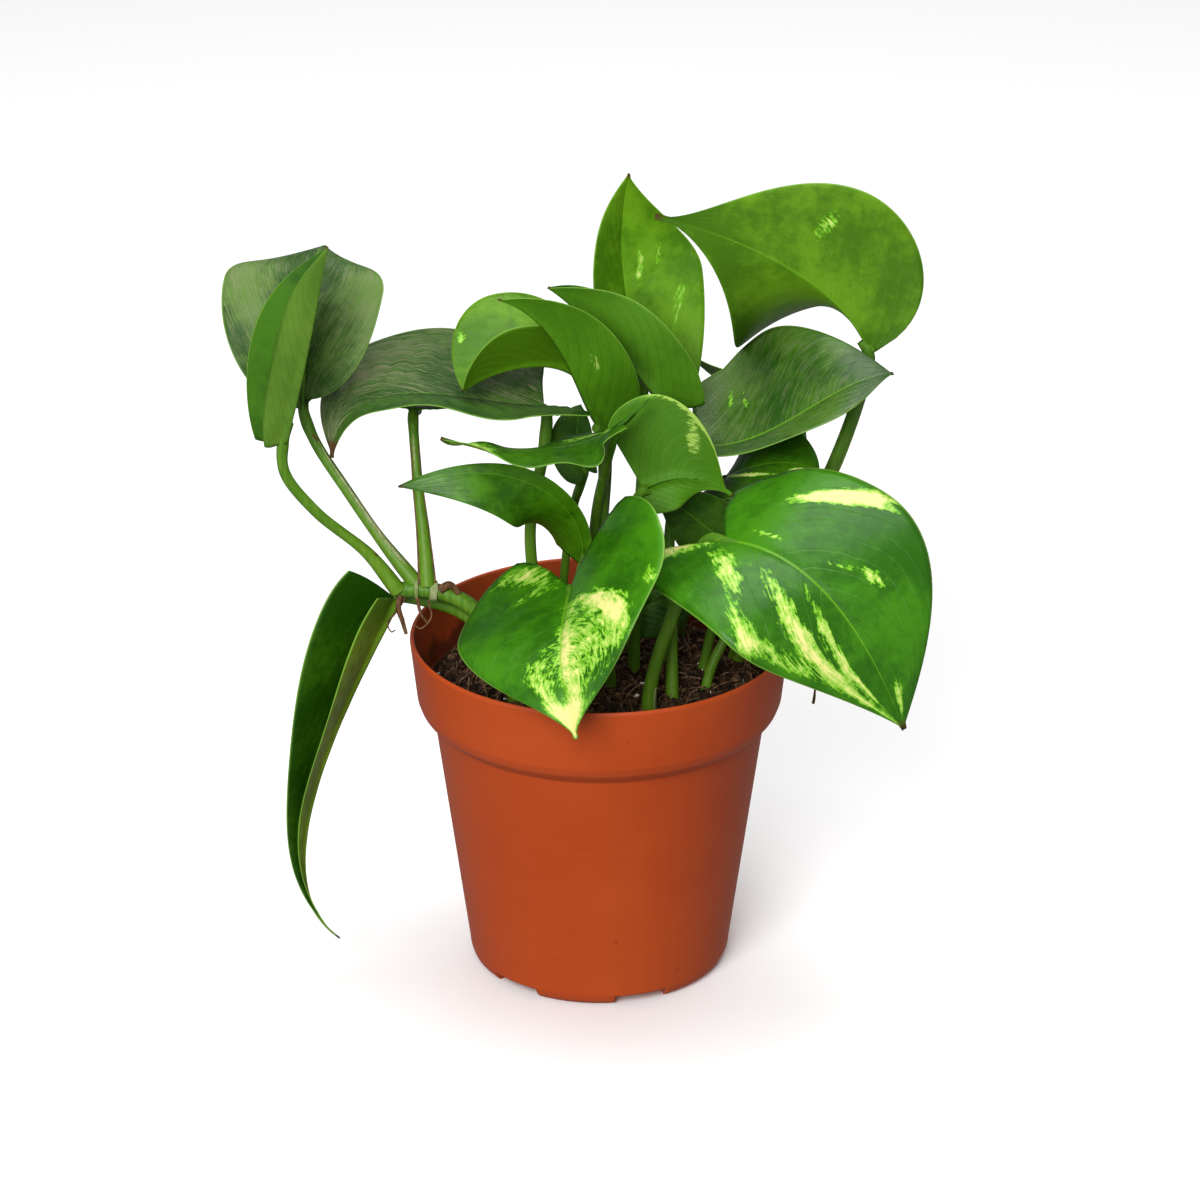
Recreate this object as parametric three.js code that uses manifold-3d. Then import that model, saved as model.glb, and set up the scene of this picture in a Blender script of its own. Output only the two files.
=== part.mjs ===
// A pothos in a plastic nursery pot: the pot, the soil that fills it, a trailing stem with its
// aerial roots, and every leaf with its own stalk. Millimetres, +Z up. The origin is the middle
// of the pot's underside, and the plant's front faces -Y.
import * as THREE from 'three';
import { mergeVertices } from 'three/addons/utils/BufferGeometryUtils.js';
import Module from 'manifold-3d';

const wasm = await Module();
wasm.setup();

// ---- Driving dimensions ----
const POT_HEIGHT = 98;
const RIM_RADIUS = 52.5;
const COLLAR_LOW_RADIUS = 50.6;
const COLLAR_LOW_HEIGHT = 80;
const COLLAR_FOOT_RADIUS = 47.2;
const COLLAR_FOOT_HEIGHT = 75;
const WALL_TOP_RADIUS = 46.1;
const WALL_LOW_RADIUS = 36.8;
const WALL_LOW_HEIGHT = 6;
const FOOT_RADIUS = 34.2;
const FOOT_WIDTH = 3;
const FOOT_RECESS = 2.4;
const CENTRE_PAD_RADIUS = 7;
const WALL_THICKNESS = 1.3;
const FLOOR_THICKNESS = 1.6;
const POT_SIDES = 36;

const DRAIN_COUNT = 6;
const DRAIN_FIRST_ANGLE = 19;
const DRAIN_NOTCH_WIDTH = 15;
const DRAIN_NOTCH_HEIGHT = 3.2;
const DRAIN_HOLE_RADIUS = 3.8;
const DRAIN_HOLE_PITCH_RADIUS = 27;

const SOIL_HEIGHT = 83;
const SOIL_BUMP = 1.2;
const SOIL_LONG_RIPPLE = 0.3;
const SOIL_SHORT_RIPPLE = 0.55;

const CLEARANCE = 0.3;
const BLADE_THICKNESS = 0.8;
const BLADE_ROWS = 10;
const HALF_COLUMNS = 3;
const TIP_FRACTION = 0.025;
const STALK_SIDES = 6;
const STALK_STEPS = 8;
const STALK_REACH = 0.07;
const STEM_SIDES = 8;
const STEM_STEPS = 10;
const ROOT_SIDES = 5;
const ROOT_STEPS = 6;
const RIB_STEP = 0.005;
const LEAST_BEND = 1e-6;
const WAVE_SHIFT = 1.9;

const GREEN = { deep: '#2f6b1c', fresh: '#4f8f22', light: '#6ea52f', dark: '#2c5527', variegated: '#6b9a3a' };

// ---- The leaves ----
// rib: four points along the midrib, from the stalk to the tip.
// face: which way the upper side looks, at the base and at the tip.
// half: width of the left and right half. lobe: how far the two heart lobes reach back.
// lean: how far the margins are carried back towards the stalk, where they are.
// widest, heel: where the blade is widest along the rib, and its width fraction at the base.
// taper: how early it narrows toward the tip.
// fold: degrees each half is lifted off flat, [left at base, at tip], [right at base, at tip].
// curl: degrees each half goes on bending between the rib and its margin. wave: margin ripple.
// stalk: points that the stalk passes on its way up to the blade. grip: its radius.
const LEAVES = [
  {
    name: 'leaf_front_centre', colour: GREEN.variegated,
    rib: [[-8, -28, 124], [-10, -44, 119], [-10, -58, 112], [-6, -68, 98]],
    face: [[-0.45, -0.23, 0.87], [-0.3, -0.6, 0.75]],
    half: [37, 32], lobe: [20, 13], widest: 0.25, heel: 0.55, taper: 1.5,
    fold: [[28, 14], [8, 5]], curl: [-10, -10], wave: [0.8, 2.2],
    stalk: [[-14, -13, 70], [-14, -13, 95], [-12, -17, 113]], grip: 1.5,
  },
  {
    name: 'leaf_front_right', colour: GREEN.variegated,
    rib: [[34, -26, 137], [50, -40, 137], [66, -50, 124], [81, -58, 96]],
    face: [[-0.1, -0.45, 0.88], [0.2, -0.8, 0.55]],
    half: [35, 31], lobe: [12, 24], widest: 0.46, heel: 0.55, taper: 1.1,
    fold: [[6, 4], [20, 4]], curl: [-16, -22], wave: [0.8, 2.0],
    stalk: [[14, -22, 70], [14, -22, 92], [22, -20, 118], [29, -20, 134]], grip: 1.8,
  },
  {
    name: 'leaf_hanging_left', colour: GREEN.deep,
    rib: [[-56, -4, 110], [-70, -10, 81], [-82, -15, 42], [-73, -16, 11]],
    face: [[0.25, -0.95, 0.15], [0.1, -0.95, 0.1]],
    half: [19, 25], lobe: [0, 6], widest: 0.14, heel: 0.85, taper: 2.6,
    fold: [[124, 104], [26, 58]], curl: [0, 0], wave: [0.6, 2],
    stalk: [[-24, -4, 70], [-28, -4, 95], [-38, -3, 105], [-49, -3, 109]], grip: 1.6,
  },
  {
    name: 'leaf_dark_left', colour: GREEN.dark,
    rib: [[-15, 6, 163], [-38, 8, 165], [-61, 6, 165], [-73, -2, 151]],
    face: [[0, 0, 1], [-0.3, 0, 1]],
    half: [30, 32], lobe: [18, -3], widest: 0.45, heel: 0.6, taper: 1.4,
    fold: [[14, 14], [13, 13]], curl: [0, 0], wave: [0.7, 2.6],
    stalk: [[-16, 4, 70], [-17, 4, 100], [-19, 3, 128], [-15, 5, 152]], grip: 1.6,
  },
  {
    name: 'leaf_far_left', colour: GREEN.dark,
    rib: [[-81, 10, 160], [-80, 13, 179], [-78, 19, 197], [-75, 36, 198]],
    face: [[0, -0.95, 0.3], [0, -0.6, 0.8]],
    half: [24.5, 21], lobe: [-1, -4], widest: 0.58, heel: 0.1, taper: 1.4,
    fold: [[45, -40], [45, -18]], curl: [0, 0], wave: [0.8, 1.5],
    stalk: [[-50, -8, 116], [-60, -2, 127], [-69, 3, 139], [-78, 8, 152]], grip: 1.5, onStem: true,
  },
  {
    name: 'leaf_rolled_left', colour: GREEN.light,
    rib: [[-85, -14, 161], [-79, -14, 184], [-75, -13, 202], [-72, -10, 215]],
    face: [[-1, -0.1, 0.1], [-1, -0.1, 0.1]],
    half: [16, 10], lobe: [2, 2], widest: 0.35, heel: 0.5, taper: 1.15,
    fold: [[60, 60], [60, 60]], curl: [15, 100], wave: [0, 1],
    stalk: [[-55, -10, 115], [-63, -10, 126], [-77, -13, 140], [-85, -14, 152]], grip: 1.5, onStem: true,
  },
  {
    name: 'leaf_left_front', colour: GREEN.fresh,
    rib: [[-5, -2, 119], [-9, -12, 140], [-26, -19, 153], [-54, -22, 151]],
    face: [[-0.5, -0.8, 0.35], [-0.1, -0.8, 0.5]],
    half: [13, 4], lobe: [0, 0], widest: 0.5, heel: 0.8, taper: 0.9,
    fold: [[0, 0], [0, 0]], curl: [0, 0], wave: [0.5, 2],
    stalk: [[-10, -2, 70], [-9, -2, 95], [-6, -1, 112]], grip: 1.4,
  },
  {
    name: 'leaf_edge_on', colour: GREEN.deep,
    rib: [[3, -18, 166], [-9, -20, 162], [-25, -25, 163], [-42, -31, 169]],
    face: [[0, 0.2, 0.95], [0, 0.2, 0.95]],
    half: [19, 9], lobe: [9, 18], widest: 0.3, heel: 0.55, taper: 1.0,
    fold: [[-8, -4], [-4, -4]], curl: [0, 0], wave: [1.2, 2.6],
    stalk: [[-4, 5, 70], [-3, 8, 100], [-1, 8, 130], [2, -3, 150]], grip: 1.4,
  },
  {
    name: 'leaf_centre', colour: GREEN.fresh,
    rib: [[12, -10, 145], [19, -10, 148], [27, -10, 148], [36, -10, 143]],
    face: [[0.1, 0.9, -0.1], [0.2, 0.9, -0.1]],
    half: [9, 25], lobe: [2, 0], widest: 0.3, heel: 0.8, taper: 2.2,
    fold: [[-30, 0], [0, 0]], curl: [0, 0], wave: [0.5, 2],
    stalk: [[3, -4, 70], [3, -4, 110], [7, -8, 134]], grip: 1.5,
  },
  {
    name: 'leaf_low_centre', colour: GREEN.dark,
    rib: [[37, 4, 122], [30, 0, 129], [23, -3, 136], [14, -6, 143]],
    face: [[-0.2, -0.9, 0.4], [-0.2, -0.9, 0.4]],
    half: [10, 10], lobe: [5, 5], widest: 0.3, heel: 0.55, taper: 1.15,
    fold: [[0, 0], [0, 0]], curl: [0, 0], wave: [0.5, 2],
    stalk: [[26, 4, 70], [32, 6, 100]], grip: 1.4,
  },
  {
    name: 'leaf_right', colour: GREEN.dark,
    rib: [[28, 11, 149], [47, 6, 156], [64, 5, 167], [80, 9, 171]],
    face: [[0, -0.12, 1], [0, -0.12, 1]],
    half: [34, 14], lobe: [6, 8], widest: 0.35, heel: 0.6, taper: 1.15,
    fold: [[25, 25], [25, -20]], curl: [0, 0], wave: [0.5, 2],
    stalk: [[20, -14, 70], [20, -4, 105], [20, 8, 130]], grip: 1.5,
  },
  {
    name: 'leaf_right_rear', colour: GREEN.deep,
    rib: [[34, 14, 138], [41, 8, 144], [51, 4, 147], [60, -1, 146]],
    face: [[0.1, -0.5, 0.85], [0.1, -0.5, 0.85]],
    half: [18, 10], lobe: [8, 8], widest: 0.3, heel: 0.55, taper: 1.15,
    fold: [[0, 0], [0, 0]], curl: [0, 0], wave: [0.5, 2],
    stalk: [[17, 10, 70], [22, 12, 105]], grip: 1.4,
  },
  {
    name: 'leaf_top_centre', colour: GREEN.light,
    rib: [[12, 26, 161], [8, 32, 181], [6, 35, 200], [8, 31, 221]],
    face: [[0, -0.9, 0.3], [0, -0.9, 0.2]],
    half: [12.5, 22.5], lobe: [8, 8], widest: 0.5, heel: 0.5, taper: 1.15,
    fold: [[50, 40], [8, 8]], curl: [0, 0], wave: [0.5, 2],
    stalk: [[9, 14, 70], [10, 18, 110], [12, 22, 145]], grip: 1.4,
  },
  {
    name: 'leaf_top_right', colour: GREEN.light,
    rib: [[74, 22, 172], [62, 22, 189], [42, 20, 203], [15, 14, 215]],
    face: [[0, -0.92, 0.4], [0, -0.92, 0.4]],
    half: [38, 30], lobe: [-26, 1], widest: 0.36, heel: 0.08, taper: 1.8,
    fold: [[-122, 30], [0, 0]], curl: [0, 0], wave: [0.5, 2], lean: [26, -1],
    stalk: [[36, 14, 70], [42, 15, 98], [60, 18, 130], [70, 21, 155]], grip: 1.7,
  },
  {
    name: 'leaf_upper_front', colour: GREEN.fresh,
    rib: [[1, 2, 158], [-5, -4, 172], [-13, -9, 189], [-27, -13, 201]],
    face: [[0.45, 0.53, 0.69], [0.35, 0.5, 0.8]],
    half: [16, 10], lobe: [6, 6], widest: 0.4, heel: 0.5, taper: 1.15,
    fold: [[50, 50], [75, 75]], curl: [0, 0], wave: [0.5, 2],
    stalk: [[2, 10, 70], [1, 12, 105], [1, 10, 130], [1, 6, 147]], grip: 1.4,
  },
  {
    name: 'leaf_upper_rear', colour: GREEN.fresh,
    rib: [[19, 8, 162], [8, 6, 175], [-3, 5, 188], [-14, 4, 198]],
    face: [[0.45, 0.53, 0.69], [0.35, 0.5, 0.8]],
    half: [16, 16], lobe: [6, 6], widest: 0.4, heel: 0.5, taper: 1.15,
    fold: [[50, 50], [65, 65]], curl: [0, 0], wave: [0.5, 2],
    stalk: [[9, 4, 70], [11, 10, 110], [16, 14, 140]], grip: 1.4,
  },
  {
    name: 'leaf_arched', colour: GREEN.light,
    rib: [[-1, 13, 164], [-13, 8, 174], [-27, 3, 174], [-37, -1, 170]],
    face: [[0, 0.25, 0.97], [-0.2, 0.2, 0.97]],
    half: [17, 25], lobe: [4, 4], widest: 0.55, heel: 0.35, taper: 1.0,
    fold: [[48, 48], [48, 48]], curl: [0, 0], wave: [0.5, 2],
    stalk: [[-2, 17, 70], [0, 17, 110], [2, 16, 148]], grip: 1.4,
  },
  {
    name: 'leaf_small_grey', colour: GREEN.dark,
    rib: [[-4, 9, 143], [-6, 10, 149], [-6, 11, 156], [-5, 12, 161]],
    face: [[0, -0.9, 0.3], [0, -0.9, 0.3]],
    half: [8, 5], lobe: [3, 3], widest: 0.4, heel: 0.5, taper: 1.15,
    fold: [[0, 0], [0, 0]], curl: [0, 0], wave: [0.3, 2],
    stalk: [[-10, 16, 70], [-10, 18, 105], [-7, 15, 130]], grip: 1.2,
  },
  {
    name: 'leaf_in_pot', colour: GREEN.dark,
    rib: [[7, 22, 93], [14, 23, 96], [23, 23, 98], [31, 20, 96]],
    face: [[0, -0.8, 0.5], [0, -0.8, 0.5]],
    half: [8, 10], lobe: [3, 3], widest: 0.4, heel: 0.5, taper: 1.15,
    fold: [[0, 0], [0, 0]], curl: [0, 0], wave: [0.3, 2],
    stalk: [[3, 22, 72], [4, 22, 84]], grip: 1.1,
  },
  {
    name: 'leaf_low_right', colour: GREEN.deep,
    rib: [[52, 2, 107], [57, -2, 103], [60, -5, 94], [59, -6, 79]],
    face: [[0.2, -0.2, 0.9], [0.9, -0.2, 0.3]],
    half: [10, 10], lobe: [5, 5], widest: 0.3, heel: 0.55, taper: 1.15,
    fold: [[0, 0], [0, 0]], curl: [0, 0], wave: [0.5, 2],
    stalk: [[27, -9, 70], [32, -4, 92], [44, 3, 106]], grip: 1.4,
  },
  {
    name: 'leaf_rear', colour: GREEN.deep,
    rib: [[48, 44, 143], [41, 48, 149], [33, 50, 154], [25, 50, 161]],
    face: [[0, 0.3, 0.9], [0, 0.3, 0.9]],
    half: [20, 20], lobe: [8, 8], widest: 0.3, heel: 0.55, taper: 1.15,
    fold: [[10, 10], [10, 10]], curl: [0, 0], wave: [0.5, 2],
    stalk: [[20, 29, 70], [28, 34, 105]], grip: 1.4,
  },
  {
    name: 'leaf_rear_left', colour: GREEN.dark,
    rib: [[-51, 14, 159], [-46, 30, 157], [-40, 45, 154], [-34, 58, 148]],
    face: [[0, 0.1, 1], [0, 0.4, 0.9]],
    half: [20, 20], lobe: [2, 2], widest: 0.3, heel: 0.55, taper: 1.15,
    fold: [[5, 5], [5, 5]], curl: [0, 0], wave: [0.5, 2],
    stalk: [[-47, -9, 116], [-48, -4, 128], [-50, 4, 145]], grip: 1.4, onStem: true,
  },
];

// ---- The trailing stem ----
const STEM = {
  route: [[-22, -16, 68], [-24, -15, 90], [-33, -10, 108], [-43, -9, 114], [-56, -9, 115]],
  radius: 2.4,
};
const AERIAL_ROOTS = [
  { route: [[-54, -9, 115], [-55, -12, 111], [-54, -12, 107], [-53, -12, 103]], radius: 1.0 },
  { route: [[-50, -9, 114], [-49, -13, 110], [-47, -12, 106]], radius: 0.6 },
];

// ---- Solids ----
const point = (p) => new THREE.Vector3(...p);
const radians = THREE.MathUtils.degToRad;
const mix = THREE.MathUtils.lerp;

function toSolid(geometry) {
  const bare = geometry.clone();
  bare.deleteAttribute('normal');
  bare.deleteAttribute('uv');
  const merged = mergeVertices(bare, 1e-4);
  return new wasm.Manifold(new wasm.Mesh({
    numProp: 3,
    vertProperties: new Float32Array(merged.attributes.position.array),
    triVerts: new Uint32Array(merged.index.array),
  }));
}

function toGeometry(solid) {
  const mesh = solid.getMesh();
  const geometry = new THREE.BufferGeometry();
  geometry.setAttribute('position', new THREE.BufferAttribute(mesh.vertProperties, 3));
  geometry.setIndex(new THREE.BufferAttribute(mesh.triVerts, 1));
  geometry.computeVertexNormals();
  return geometry;
}

function addMesh(group, name, solid, material) {
  const mesh = new THREE.Mesh(toGeometry(solid), material);
  mesh.name = name;
  group.add(mesh);
}

// A round rod along a smooth curve through the given points.
function rod(points, radius, steps, sides = STALK_SIDES) {
  const section = new THREE.Shape();
  for (let i = 0; i < sides; i += 1) {
    const angle = (2 * Math.PI * i) / sides;
    section[i ? 'lineTo' : 'moveTo'](radius * Math.cos(angle), radius * Math.sin(angle));
  }
  const extrudePath = new THREE.CatmullRomCurve3(points);
  return toSolid(new THREE.ExtrudeGeometry(section, { steps, extrudePath, bevelEnabled: false }));
}

// ---- The pot ----
function potProfile() {
  const inner = (radius) => radius - WALL_THICKNESS;
  const floor = FOOT_RECESS + FLOOR_THICKNESS;
  return [
    [0, 0], [CENTRE_PAD_RADIUS, 0], [CENTRE_PAD_RADIUS + 1, FOOT_RECESS],
    [FOOT_RADIUS - FOOT_WIDTH - 1, FOOT_RECESS], [FOOT_RADIUS - FOOT_WIDTH, 0], [FOOT_RADIUS, 0],
    [FOOT_RADIUS + 1.6, 1.4], [WALL_LOW_RADIUS - 0.3, 3.4], [WALL_LOW_RADIUS, WALL_LOW_HEIGHT],
    [WALL_TOP_RADIUS, COLLAR_FOOT_HEIGHT - 0.4], [COLLAR_FOOT_RADIUS, COLLAR_FOOT_HEIGHT],
    [COLLAR_LOW_RADIUS - 0.9, COLLAR_LOW_HEIGHT - 2.4], [COLLAR_LOW_RADIUS, COLLAR_LOW_HEIGHT],
    [RIM_RADIUS, POT_HEIGHT - 0.9], [RIM_RADIUS - 0.5, POT_HEIGHT],
    [inner(RIM_RADIUS), POT_HEIGHT - 0.4], [inner(COLLAR_LOW_RADIUS), COLLAR_LOW_HEIGHT + 1],
    [inner(WALL_TOP_RADIUS), COLLAR_FOOT_HEIGHT + 0.8], [inner(WALL_LOW_RADIUS), WALL_LOW_HEIGHT + 1],
    [inner(FOOT_RADIUS), floor], [0, floor],
  ].map(([radius, height]) => new THREE.Vector2(radius, height));
}

function revolve(profile, sides) {
  return new THREE.LatheGeometry(profile, sides).rotateX(Math.PI / 2);
}

function drainCut(angle) {
  const notch = new THREE.BoxGeometry(DRAIN_NOTCH_WIDTH, 2 * FOOT_WIDTH + 6, 2 * DRAIN_NOTCH_HEIGHT);
  notch.translate(0, -FOOT_RADIUS, 0);
  const hole = new THREE.CylinderGeometry(DRAIN_HOLE_RADIUS, DRAIN_HOLE_RADIUS, 4 * FLOOR_THICKNESS, 12);
  hole.rotateX(Math.PI / 2).translate(0, -DRAIN_HOLE_PITCH_RADIUS, FOOT_RECESS);
  const cut = toSolid(notch).add(toSolid(hole));
  return cut.rotate([0, 0, angle]);
}

function pot() {
  let solid = toSolid(revolve(potProfile(), POT_SIDES));
  for (let i = 0; i < DRAIN_COUNT; i += 1) {
    solid = solid.subtract(drainCut(DRAIN_FIRST_ANGLE + (360 * i) / DRAIN_COUNT));
  }
  return solid;
}

// ---- The soil ----
function innerRadius(height) {
  const share = (height - WALL_LOW_HEIGHT) / (COLLAR_FOOT_HEIGHT - WALL_LOW_HEIGHT);
  return mix(WALL_LOW_RADIUS, WALL_TOP_RADIUS, share) - WALL_THICKNESS;
}

function soilBump(x, y) {
  const long = Math.sin(SOIL_LONG_RIPPLE * x + 1) * Math.cos(SOIL_LONG_RIPPLE * y);
  return SOIL_BUMP * (long + 0.6 * Math.sin(SOIL_SHORT_RIPPLE * (x - y)));
}

function soil() {
  const low = FOOT_RECESS + FLOOR_THICKNESS + CLEARANCE;
  const lowRadius = FOOT_RADIUS - WALL_THICKNESS - CLEARANCE;
  const top = COLLAR_LOW_RADIUS - WALL_THICKNESS - 1;
  const profile = [
    [0, low], [lowRadius - 1, low], [innerRadius(WALL_LOW_HEIGHT + 2) - 0.8, WALL_LOW_HEIGHT + 2.5],
    [innerRadius(COLLAR_FOOT_HEIGHT) - 0.6, COLLAR_FOOT_HEIGHT],
    [innerRadius(COLLAR_FOOT_HEIGHT) - 0.4, COLLAR_FOOT_HEIGHT + 1.5],
    [top, COLLAR_LOW_HEIGHT + 1], [top - 6, SOIL_HEIGHT - 0.5],
    [0.6 * top, SOIL_HEIGHT + 0.5], [0.3 * top, SOIL_HEIGHT + 1], [0, SOIL_HEIGHT + 1],
  ].map(([radius, height]) => new THREE.Vector2(radius, height));
  const geometry = revolve(profile, POT_SIDES);
  const place = geometry.attributes.position;
  for (let i = 0; i < place.count; i += 1) {
    if (place.getZ(i) > COLLAR_LOW_HEIGHT + 1) {
      place.setZ(i, place.getZ(i) + soilBump(place.getX(i), place.getY(i)));
    }
  }
  return toSolid(geometry);
}

// ---- A leaf ----
// The smooth curve through the rib's four points, carried on straight behind the stalk.
function ribPoint(rib, t) {
  const along = Math.max(t, 0);
  const weights = [0, 1, 2, 3].map((i) => [0, 1, 2, 3].filter((j) => j !== i)
    .reduce((product, j) => (product * (3 * along - j)) / (i - j), 1));
  const place = new THREE.Vector3();
  rib.forEach((p, i) => place.addScaledVector(point(p), weights[i]));
  if (t < 0) {
    place.addScaledVector(ribPoint(rib, RIB_STEP).sub(point(rib[0])), t / RIB_STEP);
  }
  return place;
}

function ribFrame(leaf, t) {
  const inside = THREE.MathUtils.clamp(t, 0, 1);
  const forward = ribPoint(leaf.rib, inside + RIB_STEP).sub(ribPoint(leaf.rib, inside - RIB_STEP)).normalize();
  const up = point(leaf.face[0]).normalize().lerp(point(leaf.face[1]).normalize(), inside);
  up.addScaledVector(forward, -up.dot(forward)).normalize();
  return { up, right: forward.clone().cross(up) };
}

function ribLength(rib) {
  return rib.slice(1).reduce((sum, p, i) => sum + point(p).distanceTo(point(rib[i])), 0);
}

// The share of its full width that the blade has at u, from 0 at the stalk to 1 at the tip.
function outline(leaf, u) {
  if (u < leaf.widest) {
    const back = (leaf.widest - u) / leaf.widest;
    return Math.sqrt(1 - back * back * (1 - leaf.heel * leaf.heel));
  }
  const ahead = (u - leaf.widest) / (1 - leaf.widest);
  return Math.max(TIP_FRACTION, (1 - ahead * ahead) ** leaf.taper);
}

// A point of the blade's middle surface and the way it faces. v is -1 at the left margin, 0 on
// the rib and 1 at the right margin.
function bladePoint(leaf, u, v) {
  const side = v < 0 ? 0 : 1;
  const sign = v < 0 ? -1 : 1;
  const out = Math.abs(v);
  const lean = leaf.lean ? leaf.lean[side] : 0;
  const sweep = leaf.lobe[side] * Math.sin((out * Math.PI) / 2) * (1 - u) ** 3 + lean * out * (1 - u);
  const t = u - sweep / ribLength(leaf.rib);
  const { up, right } = ribFrame(leaf, t);
  const width = leaf.half[side] * outline(leaf, u) * out;
  const fold = radians(mix(leaf.fold[side][0], leaf.fold[side][1], u));
  const bend = radians(leaf.curl[side]) / leaf.half[side] || LEAST_BEND;
  const end = fold + bend * width;
  const place = ribPoint(leaf.rib, t);
  place.addScaledVector(right, (sign * (Math.sin(end) - Math.sin(fold))) / bend);
  place.addScaledVector(up, (Math.cos(fold) - Math.cos(end)) / bend);
  const facing = up.multiplyScalar(Math.cos(end)).addScaledVector(right, -sign * Math.sin(end));
  const [height, count] = leaf.wave;
  place.addScaledVector(facing, height * out * out * Math.sin(2 * Math.PI * count * u + side * WAVE_SHIFT));
  return { place, facing };
}

// Both faces are split into the same triangles, so a waved blade keeps its thickness.
function blade(leaf) {
  const columns = 2 * HALF_COLUMNS + 1;
  const vertices = [];
  for (const lift of [BLADE_THICKNESS / 2, -BLADE_THICKNESS / 2]) {
    for (let i = 0; i <= BLADE_ROWS; i += 1) {
      for (let j = 0; j < columns; j += 1) {
        const { place, facing } = bladePoint(leaf, i / BLADE_ROWS, j / HALF_COLUMNS - 1);
        vertices.push(...place.addScaledVector(facing, lift).toArray());
      }
    }
  }
  const under = (BLADE_ROWS + 1) * columns;
  const at = (i, j) => i * columns + j;
  const triangles = [];
  const quad = (a, b, c, d) => triangles.push(a, b, c, a, c, d);
  for (let i = 0; i < BLADE_ROWS; i += 1) {
    for (let j = 0; j < columns - 1; j += 1) {
      const [a, b, c, d] = [at(i, j), at(i, j + 1), at(i + 1, j + 1), at(i + 1, j)];
      triangles.push(a, b, c, a, c, d);
      triangles.push(under + a, under + c, under + b, under + a, under + d, under + c);
    }
    const [l, lNext, r, rNext] = [at(i, 0), at(i + 1, 0), at(i, columns - 1), at(i + 1, columns - 1)];
    quad(l, lNext, under + lNext, under + l);
    quad(rNext, r, under + r, under + rNext);
  }
  for (let j = 0; j < columns - 1; j += 1) {
    quad(at(0, j + 1), at(0, j), under + at(0, j), under + at(0, j + 1));
    quad(at(BLADE_ROWS, j), at(BLADE_ROWS, j + 1), under + at(BLADE_ROWS, j + 1), under + at(BLADE_ROWS, j));
  }
  const geometry = new THREE.BufferGeometry();
  geometry.setAttribute('position', new THREE.Float32BufferAttribute(vertices, 3));
  geometry.setIndex(triangles);
  return toSolid(geometry);
}

function stalk(leaf, room = 0) {
  const points = [...leaf.stalk.map(point), ribPoint(leaf.rib, 0), ribPoint(leaf.rib, STALK_REACH)];
  points[0].z -= room;
  return rod(points, leaf.grip + room, STALK_STEPS);
}

function stem(room = 0) {
  const points = STEM.route.map(point);
  points[0].z -= room;
  let solid = rod(points, STEM.radius + room, STEM_STEPS, STEM_SIDES);
  for (const root of AERIAL_ROOTS) {
    solid = solid.add(rod(root.route.map(point), root.radius + room, ROOT_STEPS, ROOT_SIDES));
  }
  return solid;
}

// ---- The whole plant ----
function paint(colour, roughness) {
  return new THREE.MeshStandardMaterial({ color: colour, roughness, metalness: 0 });
}

function pottedPothos() {
  const group = new THREE.Group();
  addMesh(group, 'pot', pot(), paint('#a9492a', 0.5));
  const stemRoom = stem(CLEARANCE);
  let filling = soil().subtract(stemRoom);
  for (const leaf of LEAVES) {
    let solid = blade(leaf).add(stalk(leaf));
    if (leaf.onStem) {
      solid = solid.subtract(stemRoom);
    } else {
      filling = filling.subtract(stalk(leaf, CLEARANCE));
    }
    addMesh(group, leaf.name, solid, paint(leaf.colour, 0.4));
  }
  addMesh(group, 'trailing_stem', stem(), paint('#6f8a3a', 0.5));
  addMesh(group, 'soil', filling, paint('#3a2415', 0.95));
  return group;
}

export default pottedPothos();
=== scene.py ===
"""A pothos in a plastic nursery pot, dressed around its solid model. Metres, +Z up, the plant's front
towards -Y. Sizes in the tables below are millimetres, and the leaves' shapes are the solid model's own."""
import math

import bpy
import numpy as np
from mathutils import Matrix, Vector


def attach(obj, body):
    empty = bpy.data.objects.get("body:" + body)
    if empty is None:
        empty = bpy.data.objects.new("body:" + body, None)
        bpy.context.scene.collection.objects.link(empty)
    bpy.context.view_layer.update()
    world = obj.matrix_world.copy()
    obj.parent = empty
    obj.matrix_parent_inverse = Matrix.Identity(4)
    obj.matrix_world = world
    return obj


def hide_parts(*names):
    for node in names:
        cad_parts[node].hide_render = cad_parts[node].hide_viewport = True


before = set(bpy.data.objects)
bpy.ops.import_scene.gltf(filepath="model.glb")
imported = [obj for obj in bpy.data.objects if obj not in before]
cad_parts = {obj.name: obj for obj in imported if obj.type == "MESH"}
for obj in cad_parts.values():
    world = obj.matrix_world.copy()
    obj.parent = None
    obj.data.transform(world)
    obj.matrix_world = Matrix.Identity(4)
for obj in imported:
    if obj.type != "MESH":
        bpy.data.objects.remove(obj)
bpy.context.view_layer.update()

MM = 0.001

# ---- Camera and room ----
CAMERA_AIM = (0.000135, 0.0, 0.1077)
CAMERA_DISTANCE = 1.4
CAMERA_PITCH = 24.25
CAMERA_LENS = 152.3
CAMERA_SENSOR = 36
FLOOR_SIZE = 6.0
FLOOR_TONE = (0.94, 0.94, 0.94)
LIT_POINT = (0, 0, 0.12)
WORLD_LIGHT = 0.34
SOFTBOXES = (("key_softbox", (-0.4, -1.3, 0.95), 0.8, 27),
             ("top_softbox", (0.1, 0.25, 1.6), 1.3, 20))

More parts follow.
